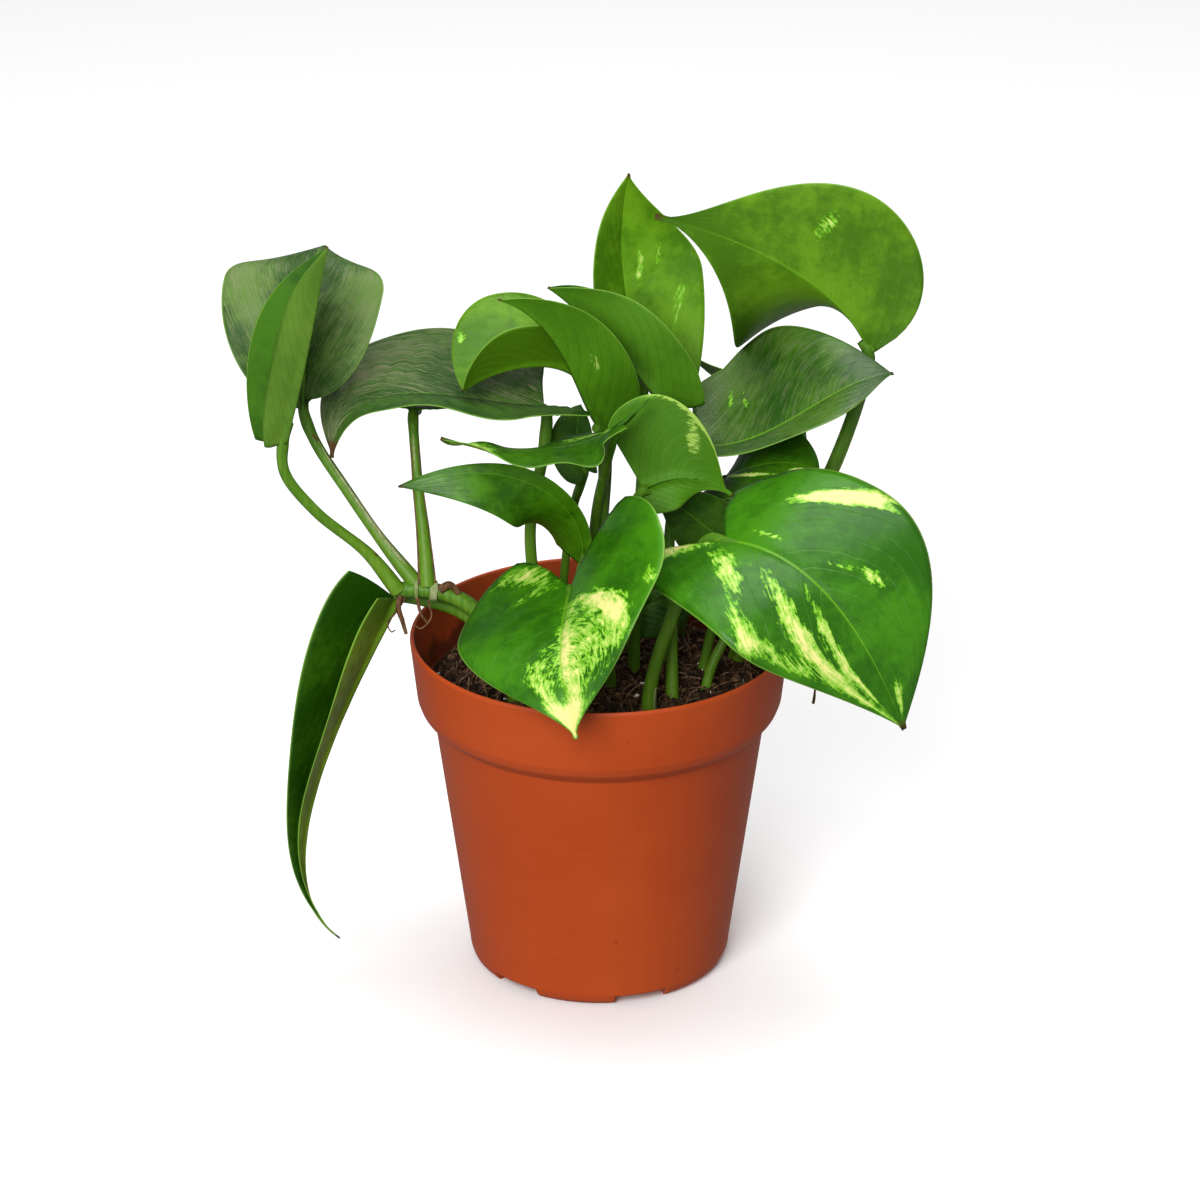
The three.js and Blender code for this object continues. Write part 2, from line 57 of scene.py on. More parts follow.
# ---- Pot, mm ----
POT_HEIGHT = 98.0
RIM_RADIUS = 52.5
COLLAR_LOW_RADIUS = 50.6
COLLAR_LOW_HEIGHT = 80.0
COLLAR_FOOT_RADIUS = 47.2
COLLAR_FOOT_HEIGHT = 75.0
WALL_TOP_RADIUS = 46.1
WALL_LOW_RADIUS = 36.8
WALL_LOW_HEIGHT = 6.0
FOOT_RADIUS = 34.2
FOOT_WIDTH = 3.0
FOOT_RECESS = 2.4
CENTRE_PAD_RADIUS = 7.0
WALL_THICKNESS = 1.3
FLOOR_THICKNESS = 1.6
POT_SIDES = 180
DRAIN_COUNT = 6
DRAIN_FIRST_ANGLE = 19.0
DRAIN_NOTCH_WIDTH = 15.0
DRAIN_NOTCH_HEIGHT = 3.2
DRAIN_HOLE_RADIUS = 3.8
DRAIN_HOLE_PITCH_RADIUS = 27.0
# The collar's inside, in metres: the middle of its wall at height 0, its slope, where dirt clings up
# to, how fast that fades and how soft the edge of the painted shade inside is
MIDWALL_RADIUS = 0.0396
MIDWALL_SLOPE = 0.125
DIRT_HEIGHT = 0.089
DIRT_FADE = 25
SOFT_EDGE = 0.0006

# ---- Soil, mm ----
SOIL_HEIGHT = 83.0
SOIL_RADIUS = COLLAR_LOW_RADIUS - WALL_THICKNESS - 1
SOIL_BUMP = 1.2
SOIL_LONG_RIPPLE = 0.3
SOIL_SHORT_RIPPLE = 0.55
SHORT_RIPPLE_SHARE = 0.6
CLOD_HEIGHT = 0.5
SOIL_CALM_MARGIN = 4
SOIL_RINGS = 60
SOIL_SPOKES = 150

# ---- What lies on the soil: piece, finish, shape, size in metres, spread, seed, count per square metre,
# dark and light tone, roughness ----
LITTER = (
    ("peat_crumbs", "peat_crumb", "crumb", 0.0026, 0.3, 4, 330000.0,
     (0.01, 0.005, 0.003), (0.09, 0.042, 0.02), 0.9),
    ("bark_bits", "bark_bit", "crumb", 0.004, 0.4, 9, 16000.0,
     (0.035, 0.016, 0.008), (0.16, 0.085, 0.04), 0.85),
    ("root_fibres", "fibre", "fibre", 0.013, 0.3, 2, 60000.0,
     (0.05, 0.025, 0.012), (0.22, 0.13, 0.07), 0.8),
    ("perlite_bits", "perlite", "crumb", 0.0022, 0.4, 21, 9000.0,
     (0.45, 0.42, 0.36), (0.8, 0.77, 0.7), 0.8),
)
BED_RINGS = 24
BED_SPOKES = 48
FULL_TURN = 6.28

# ---- Blades, mm unless they are shares ----
BLADE_ROWS = 72
HALF_COLUMNS = 20
COLUMN_CROWDING = 1.35
BLADE_THICKNESS = 0.5
MARGIN_INSET = 0.5
TIP_FRACTION = 0.025
WAVE_SHIFT = 1.9
RIB_STEP = 0.005
LEAST_BEND = 1e-6
VEIN_BEND = 1.2
GROOVE_DEPTH = 0.45
GROOVE_WIDTH = 1.1
KEEL_HEIGHT = 1.5
KEEL_WIDTH = 0.8
# The stalk runs on under the rib to STALK_REACH, dropped by shares of its radius, unless both halves
# are folded beyond ROLLED_UP degrees
STALK_REACH = 0.07
DROP_AT_BASE = 0.7
DROP_AT_REACH = 1.1
ROLLED_UP = 50

# ---- Rods: rings and sides, then places on them as shares of their way ----
TUBE_RINGS = 48
STALK_SIDES = 14
STEM_SIDES = 20
SHEATH_SIDES = 10
STEM_THINNING = 0.1
FLARE_REACH = 0.35
KNEE_PLACE = 0.88
KNEE_REACH = 0.07
STALK_FLARE = 0.5
STALK_KNEE = 0.12
SMOOTH = {"interpolation_type": "SMOOTHSTEP"}

# ---- Tones, as red, green and blue shares of white ----
TONES = {slot: dict(zip(("deep", "bright", "under"), tones)) for slot, *tones in (
    ("leaf_variegated", (0.018, 0.1, 0.002), (0.042, 0.19, 0.003), (0.09, 0.25, 0.008)),
    ("leaf_fresh", (0.018, 0.085, 0.001), (0.062, 0.205, 0.003), (0.07, 0.21, 0.004)),
    # These tones are brightened to paint the glow of light shining through thin leaves
    ("leaf_light", (0.048, 0.14, 0.002), (0.11, 0.26, 0.006), (0.085, 0.22, 0.004)),
    ("leaf_deep", (0.014, 0.068, 0.001), (0.042, 0.145, 0.003), (0.055, 0.17, 0.004)),
    ("leaf_dark", (0.014, 0.062, 0.002), (0.046, 0.132, 0.006), (0.05, 0.155, 0.006)),
)}
LIME = (0.14, 0.42, 0.012)
PALE_LIME = (0.38, 0.57, 0.1)
CREAM = (0.72, 0.68, 0.24)
# The marbling: each tint, where it begins and where it's full; what makes its edges ragged
MARBLING = ((LIME, 0.5, 0.62), (PALE_LIME, 0.66, 0.9), (CREAM, 0.95, 1.25))
NOISE_MIDDLE = 0.48
STREAK_PULL = 2.4
BLOTCH_PULL = 1.6
# Lines on the blade: where they begin and where they're full
VEIN_LINE = (0.455, 0.5)
RIB_LINE = (0.006, 0.016)
MARGIN_LINE = (0.98, 0.994)
VEIN_GREEN = (0.13, 0.34, 0.012)
# Grey painted onto the blades as their reflection of the bright backdrop
PAINTED_SHEEN_GREY = (0.19, 0.18, 0.11)
EDGE_GREEN = (0.24, 0.46, 0.06)
DRIED = (0.07, 0.035, 0.006)
STALK_LINE = (0.18, 0.34, 0.03)
STALK_CLOUD = (0.05, 0.15, 0.006)
STALK_SPOT = (0.1, 0.035, 0.008)
TERRACOTTA = (0.42, 0.052, 0.0055)
PALE_TERRACOTTA = (0.47, 0.066, 0.0085)
POT_SCUFF = (0.52, 0.13, 0.05)
POT_GRAIN = (0.6, 0.3, 0.18)
POT_FLECK = (0.2, 0.03, 0.006)
# Painted shade for the collar's inside
PAINTED_INSIDE_SHADE = (0.16, 0.03, 0.008)
POT_DIRT = (0.03, 0.012, 0.005)
DARK_PEAT = (0.006, 0.003, 0.0015)
PEAT = (0.048, 0.02, 0.008)
DAMP_PEAT = (0.018, 0.008, 0.004)

# ---- The leaf table ----
USUAL_LEAF = dict(
    widest=0.3, heel=0.55, taper=1.15, fold=((0, 0), (0, 0)), curl=(0, 0), lean=(0, 0), wave=(0.5, 2),
    grip=1.4, ripple=0.25, slant=0.55, veins=9, gloss=0.36, index=1.26, silk=0.3, silver=0.0,
    silver_side=(-1.0, 0.0), dried=0.985, patches=(), sheaths=())
LEAVES = []


def leaf(name, slot, **own):
    """Adds a leaf to the table, in mm and degrees. Pairs are left and right.

    Shape. half, lobe: width and backward reach of each half. widest: where along the rib. heel: width at
    the stalk, as a share. taper: how soon it narrows to the tip. curl: bend from rib to margin. lean: how
    far the margins are carried back towards the stalk. wave: height and count of the margin's ripples.
    grip: the stalk's radius. rib: four points from the stalk to the tip. fold: how far each half is
    lifted, at the base and at the tip. face: which way the upper side looks, at the base and at the tip,
    or once for both. stalk: points on its way. sheaths, which clasp the stalk: tint, from and to as
    shares of its way, shift at each end, radius and thinning.

    Look. ripple: height of the quilting. slant: how far the veins run on towards the tip. gloss: the
    roughness. index: the refraction. silk: strength of the fine lines, which vary the
    relief and roughness and paint lighter highlight streaks into the colour. silver: strength of the
    painted grey reflection, and silver_side: from where to where across the blade it comes in.
    dried: where the tip begins to dry. patches: place along the rib, place across (-1 left margin, 1 right
    margin), the reach both ways, how far the patch slants towards the tip on its way out, and how pale it is."""
    LEAVES.append({"name": name, "slot": slot, **USUAL_LEAF, **TONES[slot], **own})


leaf("leaf_front_centre", "leaf_variegated", half=(37, 32), lobe=(20, 13), widest=0.25, taper=1.5,
     curl=(-10, -10), wave=(0.8, 2.2), grip=1.5,
     rib=((-8, -28, 124), (-10, -44, 119), (-10, -58, 112), (-6, -68, 98)), fold=((28, 14), (8, 5)),
     face=((-0.45, -0.23, 0.87), (-0.3, -0.6, 0.75)),
     stalk=((-14, -13, 70), (-14, -13, 95), (-12, -17, 113)), ripple=0.3, slant=0.48, gloss=0.34, dried=1.0,
     patches=(
         (0.17, -0.45, 0.06, 0.42, 0.48, 1.0), (0.38, -0.3, 0.15, 0.34, 0.48, 0.62),
         (0.24, -0.7, 0.16, 0.26, 0.48, 0.52), (0.5, -0.06, 0.28, 0.08, 0.48, 0.62),
         (0.62, -0.24, 0.15, 0.26, 0.48, 0.8), (0.93, 0.0, 0.1, 0.8, 0.0, 1.6),
         (0.54, 0.4, 0.18, 0.32, 0.48, 0.78), (0.0, 0.45, 0.03, 0.24, 0.3, 0.6),
         (0.01, 0.6, 0.05, 0.45, 0.05, 0.75), (-0.04, -0.92, 0.05, 0.1, 0.48, 0.7)))
leaf("leaf_front_right", "leaf_variegated", half=(35, 31), lobe=(12, 24), widest=0.46, taper=1.1,
     curl=(-16, -22), wave=(0.8, 2.0), grip=1.8,
     rib=((34, -26, 137), (50, -40, 137), (66, -50, 124), (81, -58, 96)), fold=((6, 4), (20, 4)),
     face=((-0.1, -0.45, 0.88), (0.2, -0.8, 0.55)),
     stalk=((14, -22, 70), (14, -22, 92), (22, -20, 118), (29, -20, 134)), ripple=0.3, slant=0.75, gloss=0.3,
     index=1.32, patches=(
         (0.09, 0.52, 0.085, 0.3, 1.05, 0.75), (0.375, 0.34, 0.07, 0.24, 1.05, 0.8),
         (0.16, 0.6, 0.24, 0.32, 1.05, 0.5), (0.055, 0.85, 0.06, 0.14, 0.5, 0.8),
         (0.62, 0.82, 0.2, 0.1, 0.0, 0.7), (0.02, 0.42, 0.07, 0.22, 0.5, 0.92),
         (-0.152, -0.745, 0.045, 0.17, 0.68, 2.6), (-0.2, -0.93, 0.035, 0.1, 0.68, 1.05),
         (0.19, -0.15, 0.1, 0.035, 0.0, 0.8), (0.38, -0.425, 0.032, 0.07, 0.55, 1.15),
         (0.355, -0.22, 0.022, 0.13, 0.62, 0.58), (0.93, -0.3, 0.05, 0.14, 0.0, 0.95),
         (0.01, 0.55, 0.05, 0.34, 0.0, 1.3)),
     sheaths=(("pale", 0.02, 0.2, (1.2, -1.1, 0), (1.2, -1.1, 0), 1.1, 0.6),))
# Its underside tone is raised above its slot's to paint light onto the strip that lies in shade
leaf("leaf_hanging_left", "leaf_deep", half=(19, 25), lobe=(0, 6), widest=0.14, heel=0.85, taper=2.6,
     wave=(0.6, 2), grip=1.6, rib=((-56, -4, 110), (-70, -10, 81), (-82, -15, 42), (-73, -16, 11)),
     fold=((124, 104), (26, 58)), face=((0.25, -0.95, 0.15), (0.1, -0.95, 0.1)),
     stalk=((-24, -4, 70), (-28, -4, 95), (-38, -3, 105), (-49, -3, 109)), ripple=0.4, slant=0.8, gloss=0.3,
     index=1.34, under=(0.2, 0.42, 0.02))
leaf("leaf_dark_left", "leaf_dark", half=(30, 32), lobe=(18, -3), widest=0.45, heel=0.6, taper=1.4,
     wave=(0.7, 2.6), grip=1.6, rib=((-15, 6, 163), (-38, 8, 165), (-61, 6, 165), (-73, -2, 151)),
     fold=((14, 14), (13, 13)), face=((0, 0, 1), (-0.3, 0, 1)),
     stalk=((-16, 4, 70), (-17, 4, 100), (-19, 3, 128), (-15, 5, 152)), ripple=1.5, slant=1.3, veins=12,
     index=1.3, silk=2.2, silver=1.0, silver_side=(0.25, 0.6), dried=0.94)
leaf("leaf_far_left", "leaf_dark", half=(24.5, 21), lobe=(-1, -4), widest=0.58, heel=0.1, taper=1.4,
     wave=(0.8, 1.5), grip=1.5, rib=((-81, 10, 160), (-80, 13, 179), (-78, 19, 197), (-75, 36, 198)),
     fold=((45, -40), (45, -18)), face=((0, -0.95, 0.3), (0, -0.6, 0.8)),
     stalk=((-50, -8, 116), (-60, -2, 127), (-69, 3, 139), (-78, 8, 152)), ripple=0.4, slant=0.8, gloss=0.4,
     index=1.34, silk=1.0, silver=0.45, bright=(0.085, 0.18, 0.022), sheaths=(
         ("pale", 0.02, 0.62, (0.9, -0.9, 0.5), (0.8, -0.9, 0.5), 1.0, 0.8),
         ("brown", 0.6, 0.64, (0.8, -0.9, 0.5), (0.3, -1.4, 0.4), 0.45, 0.5)))
leaf("leaf_rolled_left", "leaf_light", half=(16, 10), lobe=(2, 2), widest=0.35, heel=0.5, curl=(15, 100),
     wave=(0, 1), grip=1.5, rib=((-85, -14, 161), (-79, -14, 184), (-75, -13, 202), (-72, -10, 215)),
     fold=((60, 60), (60, 60)), face=((-1, -0.1, 0.1),),
     stalk=((-55, -10, 115), (-63, -10, 126), (-77, -13, 140), (-85, -14, 152)), ripple=0.1, slant=0.3,
     veins=13, gloss=0.5, deep=(0.02, 0.085, 0.002), bright=(0.045, 0.15, 0.004), under=(0.09, 0.19, 0.016),
     sheaths=(("pale", 0.3, 0.34, (0, 0, 0), (0, 0, 0), 1.62, 0.0),))
leaf("leaf_left_front", "leaf_fresh", half=(13, 4), lobe=(0, 0), widest=0.5, heel=0.8, taper=0.9,
     rib=((-5, -2, 119), (-9, -12, 140), (-26, -19, 153), (-54, -22, 151)),
     face=((-0.5, -0.8, 0.35), (-0.1, -0.8, 0.5)), stalk=((-10, -2, 70), (-9, -2, 95), (-6, -1, 112)),
     gloss=0.3, index=1.36)
leaf("leaf_edge_on", "leaf_deep", half=(19, 9), lobe=(9, 18), taper=1.0, wave=(1.2, 2.6),
     rib=((3, -18, 166), (-9, -20, 162), (-25, -25, 163), (-42, -31, 169)), fold=((-8, -4), (-4, -4)),
     face=((0, 0.2, 0.95),), stalk=((-4, 5, 70), (-3, 8, 100), (-1, 8, 130), (2, -3, 150)),
     patches=((0.86, 0.0, 0.13, 1.2, 0.0, 1.0), (0.3, 0.5, 0.16, 0.3, 0.0, 0.6)))
leaf("leaf_centre", "leaf_fresh", half=(9, 25), lobe=(2, 0), heel=0.8, taper=2.2, grip=1.5,
     rib=((12, -10, 145), (19, -10, 148), (27, -10, 148), (36, -10, 143)), fold=((-30, 0), (0, 0)),
     face=((0.1, 0.9, -0.1), (0.2, 0.9, -0.1)), stalk=((3, -4, 70), (3, -4, 110), (7, -8, 134)),
     patches=((0.56, 0.65, 0.06, 0.28, 0.0, 0.78), (0.6, 1.0, 0.24, 0.06, 0.0, 1.5)))
leaf("leaf_low_centre", "leaf_dark", half=(10, 10), lobe=(5, 5),
     rib=((37, 4, 122), (30, 0, 129), (23, -3, 136), (14, -6, 143)), face=((-0.2, -0.9, 0.4),),
     stalk=((26, 4, 70), (32, 6, 100)))
leaf("leaf_right", "leaf_dark", half=(34, 14), lobe=(6, 8), widest=0.35, heel=0.6, grip=1.5,
     rib=((28, 11, 149), (47, 6, 156), (64, 5, 167), (80, 9, 171)), fold=((25, 25), (25, -20)),
     face=((0, -0.12, 1),), stalk=((20, -14, 70), (20, -4, 105), (20, 8, 130)), ripple=0.2, gloss=0.3,
     index=1.42, silver=0.3,
     patches=((0.16, -0.53, 0.018, 0.15, 0.0, 0.58), (0.24, -0.43, 0.018, 0.15, 0.0, 0.58)))
leaf("leaf_right_rear", "leaf_deep", half=(18, 10), lobe=(8, 8),
     rib=((34, 14, 138), (41, 8, 144), (51, 4, 147), (60, -1, 146)), face=((0.1, -0.5, 0.85),),
     stalk=((17, 10, 70), (22, 12, 105)),
     patches=((0.08, 0.3, 0.06, 0.34, 0.93, 1.3), (0.83, 0.45, 0.09, 0.15, 0.0, 1.4)))
leaf("leaf_top_centre", "leaf_light", half=(12.5, 22.5), lobe=(8, 8), widest=0.5, heel=0.5,
     rib=((12, 26, 161), (8, 32, 181), (6, 35, 200), (8, 31, 221)), fold=((50, 40), (8, 8)),
     face=((0, -0.9, 0.3), (0, -0.9, 0.2)), stalk=((9, 14, 70), (10, 18, 110), (12, 22, 145)),
     deep=(0.055, 0.17, 0.003), bright=(0.13, 0.31, 0.009), patches=(
         (0.32, 0.22, 0.07, 0.06, 1.0, 1.1), (0.12, 0.5, 0.05, 0.11, 1.0, 0.62),
         (-0.3, 0.65, 0.12, 0.17, 1.0, 0.5)))
leaf("leaf_top_right", "leaf_light", half=(38, 30), lobe=(-26, 1), widest=0.36, heel=0.08, taper=1.8,
     lean=(26, -1), grip=1.7, rib=((74, 22, 172), (62, 22, 189), (42, 20, 203), (15, 14, 215)),
     fold=((-122, 30), (0, 0)), face=((0, -0.92, 0.4),),
     stalk=((36, 14, 70), (42, 15, 98), (60, 18, 130), (70, 21, 155)), gloss=0.5,
     patches=((0.48, 0.56, 0.035, 0.2, 0.0, 0.75),),
     sheaths=(("green", 0.42, 0.86, (1.5, 0.5, -0.8), (1.5, 0.5, -0.8), 1.0, 0.75),))
leaf("leaf_upper_front", "leaf_fresh", half=(16, 10), lobe=(6, 6), widest=0.4, heel=0.5,
     rib=((1, 2, 158), (-5, -4, 172), (-13, -9, 189), (-27, -13, 201)), fold=((50, 50), (75, 75)),
     face=((0.45, 0.53, 0.69), (0.35, 0.5, 0.8)),
     stalk=((2, 10, 70), (1, 12, 105), (1, 10, 130), (1, 6, 147)),
     patches=((0.46, -0.43, 0.06, 0.08, 0.0, 0.7),))
leaf("leaf_upper_rear", "leaf_fresh", half=(16, 16), lobe=(6, 6), widest=0.4, heel=0.5,
     rib=((19, 8, 162), (8, 6, 175), (-3, 5, 188), (-14, 4, 198)), fold=((50, 50), (65, 65)),
     face=((0.45, 0.53, 0.69), (0.35, 0.5, 0.8)), stalk=((9, 4, 70), (11, 10, 110), (16, 14, 140)),
     gloss=0.3, index=1.36)
leaf("leaf_arched", "leaf_light", half=(17, 25), lobe=(4, 4), widest=0.55, heel=0.35, taper=1.0,
     rib=((-1, 13, 164), (-13, 8, 174), (-27, 3, 174), (-37, -1, 170)), fold=((48, 48), (48, 48)),
     face=((0, 0.25, 0.97), (-0.2, 0.2, 0.97)), stalk=((-2, 17, 70), (0, 17, 110), (2, 16, 148)),
     patches=((0.78, 0.8, 0.05, 0.12, 0.0, 0.58),))
leaf("leaf_small_grey", "leaf_dark", half=(8, 5), lobe=(3, 3), widest=0.4, heel=0.5, wave=(0.3, 2), grip=1.2,
     rib=((-4, 9, 143), (-6, 10, 149), (-6, 11, 156), (-5, 12, 161)), face=((0, -0.9, 0.3),),
     stalk=((-10, 16, 70), (-10, 18, 105), (-7, 15, 130)))
leaf("leaf_in_pot", "leaf_dark", half=(8, 10), lobe=(3, 3), widest=0.4, heel=0.5, wave=(0.3, 2), grip=1.1,
     rib=((7, 22, 93), (14, 23, 96), (23, 23, 98), (31, 20, 96)), face=((0, -0.8, 0.5),),
     stalk=((3, 22, 72), (4, 22, 84)))
leaf("leaf_low_right", "leaf_deep", half=(10, 10), lobe=(5, 5),
     rib=((52, 2, 107), (57, -2, 103), (60, -5, 94), (59, -6, 79)),
     face=((0.2, -0.2, 0.9), (0.9, -0.2, 0.3)), stalk=((27, -9, 70), (32, -4, 92), (44, 3, 106)), dried=0.72)
leaf("leaf_rear", "leaf_deep", half=(20, 20), lobe=(8, 8),
     rib=((48, 44, 143), (41, 48, 149), (33, 50, 154), (25, 50, 161)), fold=((10, 10), (10, 10)),
     face=((0, 0.3, 0.9),), stalk=((20, 29, 70), (28, 34, 105)))
leaf("leaf_rear_left", "leaf_dark", half=(20, 20), lobe=(2, 2),
     rib=((-51, 14, 159), (-46, 30, 157), (-40, 45, 154), (-34, 58, 148)), fold=((5, 5), (5, 5)),
     face=((0, 0.1, 1), (0, 0.4, 0.9)), stalk=((-47, -9, 116), (-48, -4, 128), (-50, 4, 145)), sheaths=(
         ("green", 0.0, 0.66, (0, -0.5, 0), (0, -0.5, 0), 2.2, 0.6),
         ("brown", 0.0, 0.66, (-2.2, -1.0, 0), (-0.8, -1.0, 0), 0.4, 0.5),
         ("brown", 0.0, 0.6, (2.2, -1.0, 0), (0.9, -1.0, 0), 0.4, 0.5),
         ("pale", 0.5, 0.8, (-0.2, -1.3, 0), (0, -1.4, 0), 0.55, 0.85)))

# ---- The trailing stem, mm ----
STEM_ROUTE = ((-22, -16, 68), (-24, -15, 90), (-33, -10, 108), (-43, -9, 114), (-56, -9, 115))
STEM_RADIUS = 2.4
# What grows on it: name, tint, thinning, sides, and the way and radius of each
STEM_PARTS = (
    ("vine_root", "brown", 0.5, 9, (
        (((-54, -9, 115), (-55, -12, 111), (-54, -12, 107), (-53, -12, 103)), 1.0),
        (((-50, -9, 114), (-49, -13, 110), (-47, -12, 106)), 0.6),
        (((-53, -10, 113), (-56, -12, 109), (-58, -12, 106), (-57, -13, 104), (-56, -12, 104)), 0.35),
        (((-47, -10, 112), (-46, -12, 108), (-49, -13, 105), (-51, -12, 106)), 0.3))),
    ("node_ring", "pale", 0.0, 20, (
        (((-46.5, -9.1, 114.6), (-44.5, -9, 114.4)), 2.9), (((-50.5, -9, 115), (-49.6, -9, 115)), 2.75))),
    ("node_lump", "brown", 0.4, 12, (
        (((-43.5, -10.5, 115.5), (-41, -10.6, 117), (-38.5, -10.4, 114.5)), 1.3),)),
)


def numbered(values):
    return {f"i{i}": value for i, value in enumerate(values)}


class NodeTree:
    """A tree of nodes, whose kinds of node mostly start with the name of its family."""

    def make(self, kind, settings=None, **values):
        """Adds a node: its settings first, then a value or a link for each named socket. i0, i1 and so
        on stand for a socket's number, and a node for its first output."""
        node = self.tree.nodes.new(kind if "Node" in kind else self.family + kind)
        for key, value in (settings or {}).items():
            setattr(node, key, value)
        for key, value in values.items():
            socket = node.inputs[int(key[1:]) if key[1:].isdigit() else key.replace("_", " ")]
            if isinstance(value, Flow):
                value = value.socket
            if isinstance(value, bpy.types.Node):
                value = value.outputs[0]
            if isinstance(value, bpy.types.NodeSocket):
                self.tree.links.new(value, socket)
            else:
                socket.default_value = value
        return node

    def maths(self, operation, *values):
        return self.make("ShaderNodeMath", {"operation": operation}, **numbered(values))


def operator(operation, swapped=False):
    """A method that adds the math node of an operation."""
    def apply(self, *other):
        return self.paint.maths(operation, *((*other, self) if swapped else (self, *other)))
    return apply


class Flow:
    """A value that runs through a surface's nodes, with arithmetic."""

    def __init__(self, paint, socket):
        self.paint, self.socket = paint, socket

    __add__ = __radd__ = operator("ADD")
    __mul__ = __rmul__ = operator("MULTIPLY")
    __sub__, __rsub__ = operator("SUBTRACT"), operator("SUBTRACT", swapped=True)
    __pow__, __abs__ = operator("POWER"), operator("ABSOLUTE")


class Paint(NodeTree):
    """One surface finish and the nodes that make it."""

    family = "ShaderNode"

    def __init__(self, name):
        self.material = bpy.data.materials.new(name)
        self.material.use_nodes = True
        self.tree = self.material.node_tree
        self.tree.nodes.clear()

    def flow(self, node, output=0):
        return Flow(self, node.outputs[output])

    def maths(self, operation, *values):
        return self.flow(super().maths(operation, *values))

    def blend(self, share, first, second):
        """A colour between first and second."""
        colours = [c if isinstance(c, Flow) else (*c, 1) for c in (first, second)]
        return self.flow(self.make("Mix", {"data_type": "RGBA"}, i0=share, i6=colours[0], i7=colours[1]), 2)

    def coated(self, colour, *coats):
        """The colour with coats over it. Each: its tint, what it follows, where that lets it begin and
        where it's full, and the share of it that shows, unless all of it does."""
        for tint, cover, low, high, *share in coats:
            seen = self.step(cover, low, high)
            colour = self.blend(seen * share[0] if share else seen, colour, tint)
        return colour

    def noise(self, place, scale, detail=3, roughness=0.55, distortion=0.0):
        return self.flow(self.make("TexNoise", Vector=place, Scale=scale, Detail=detail,
                                   Roughness=roughness, Distortion=distortion))

    def step(self, value, low, high):
        """0 below low, 1 above high, smooth between."""
        return self.flow(self.make("MapRange", SMOOTH, Value=value, From_Min=low, From_Max=high))

    def stretch(self, place, scale):
        return self.flow(self.make("Mapping", Vector=place, Scale=scale))

    def vector(self, x, y, z):
        return self.flow(self.make("CombineXYZ", X=x, Y=y, Z=z))

    def split(self, vector):
        node = self.make("SeparateXYZ", Vector=vector)
        return [self.flow(node, i) for i in range(3)]

    def place(self):
        return self.flow(self.make("TexCoord"), "Object")

    def chart(self):
        return self.flow(self.make("UVMap", {"uv_map": "UVMap"}), "UV")

    def worn(self, name):
        """A number that the mesh carries for each of its points."""
        return self.flow(self.make("Attribute", {"attribute_name": name}), "Fac")

    def finish(self, colour, roughness, relief=None, depth=0.0, reach=0.001, **constants):
        """Ends the surface. relief is a height field, depth its strength and reach its distance in metres."""
        if not isinstance(colour, Flow):
            colour = (*colour, 1)
        shader = self.make("BsdfPrincipled", Base_Color=colour, Roughness=roughness)
        for key, value in constants.items():
            shader.inputs[key.replace("_", " ")].default_value = value
        if relief is not None:
            bump = self.make("Bump", Height=relief, Strength=depth, Distance=reach)
            self.tree.links.new(bump.outputs["Normal"], shader.inputs["Normal"])
        self.make("OutputMaterial", Surface=self.flow(shader))
        return self.material


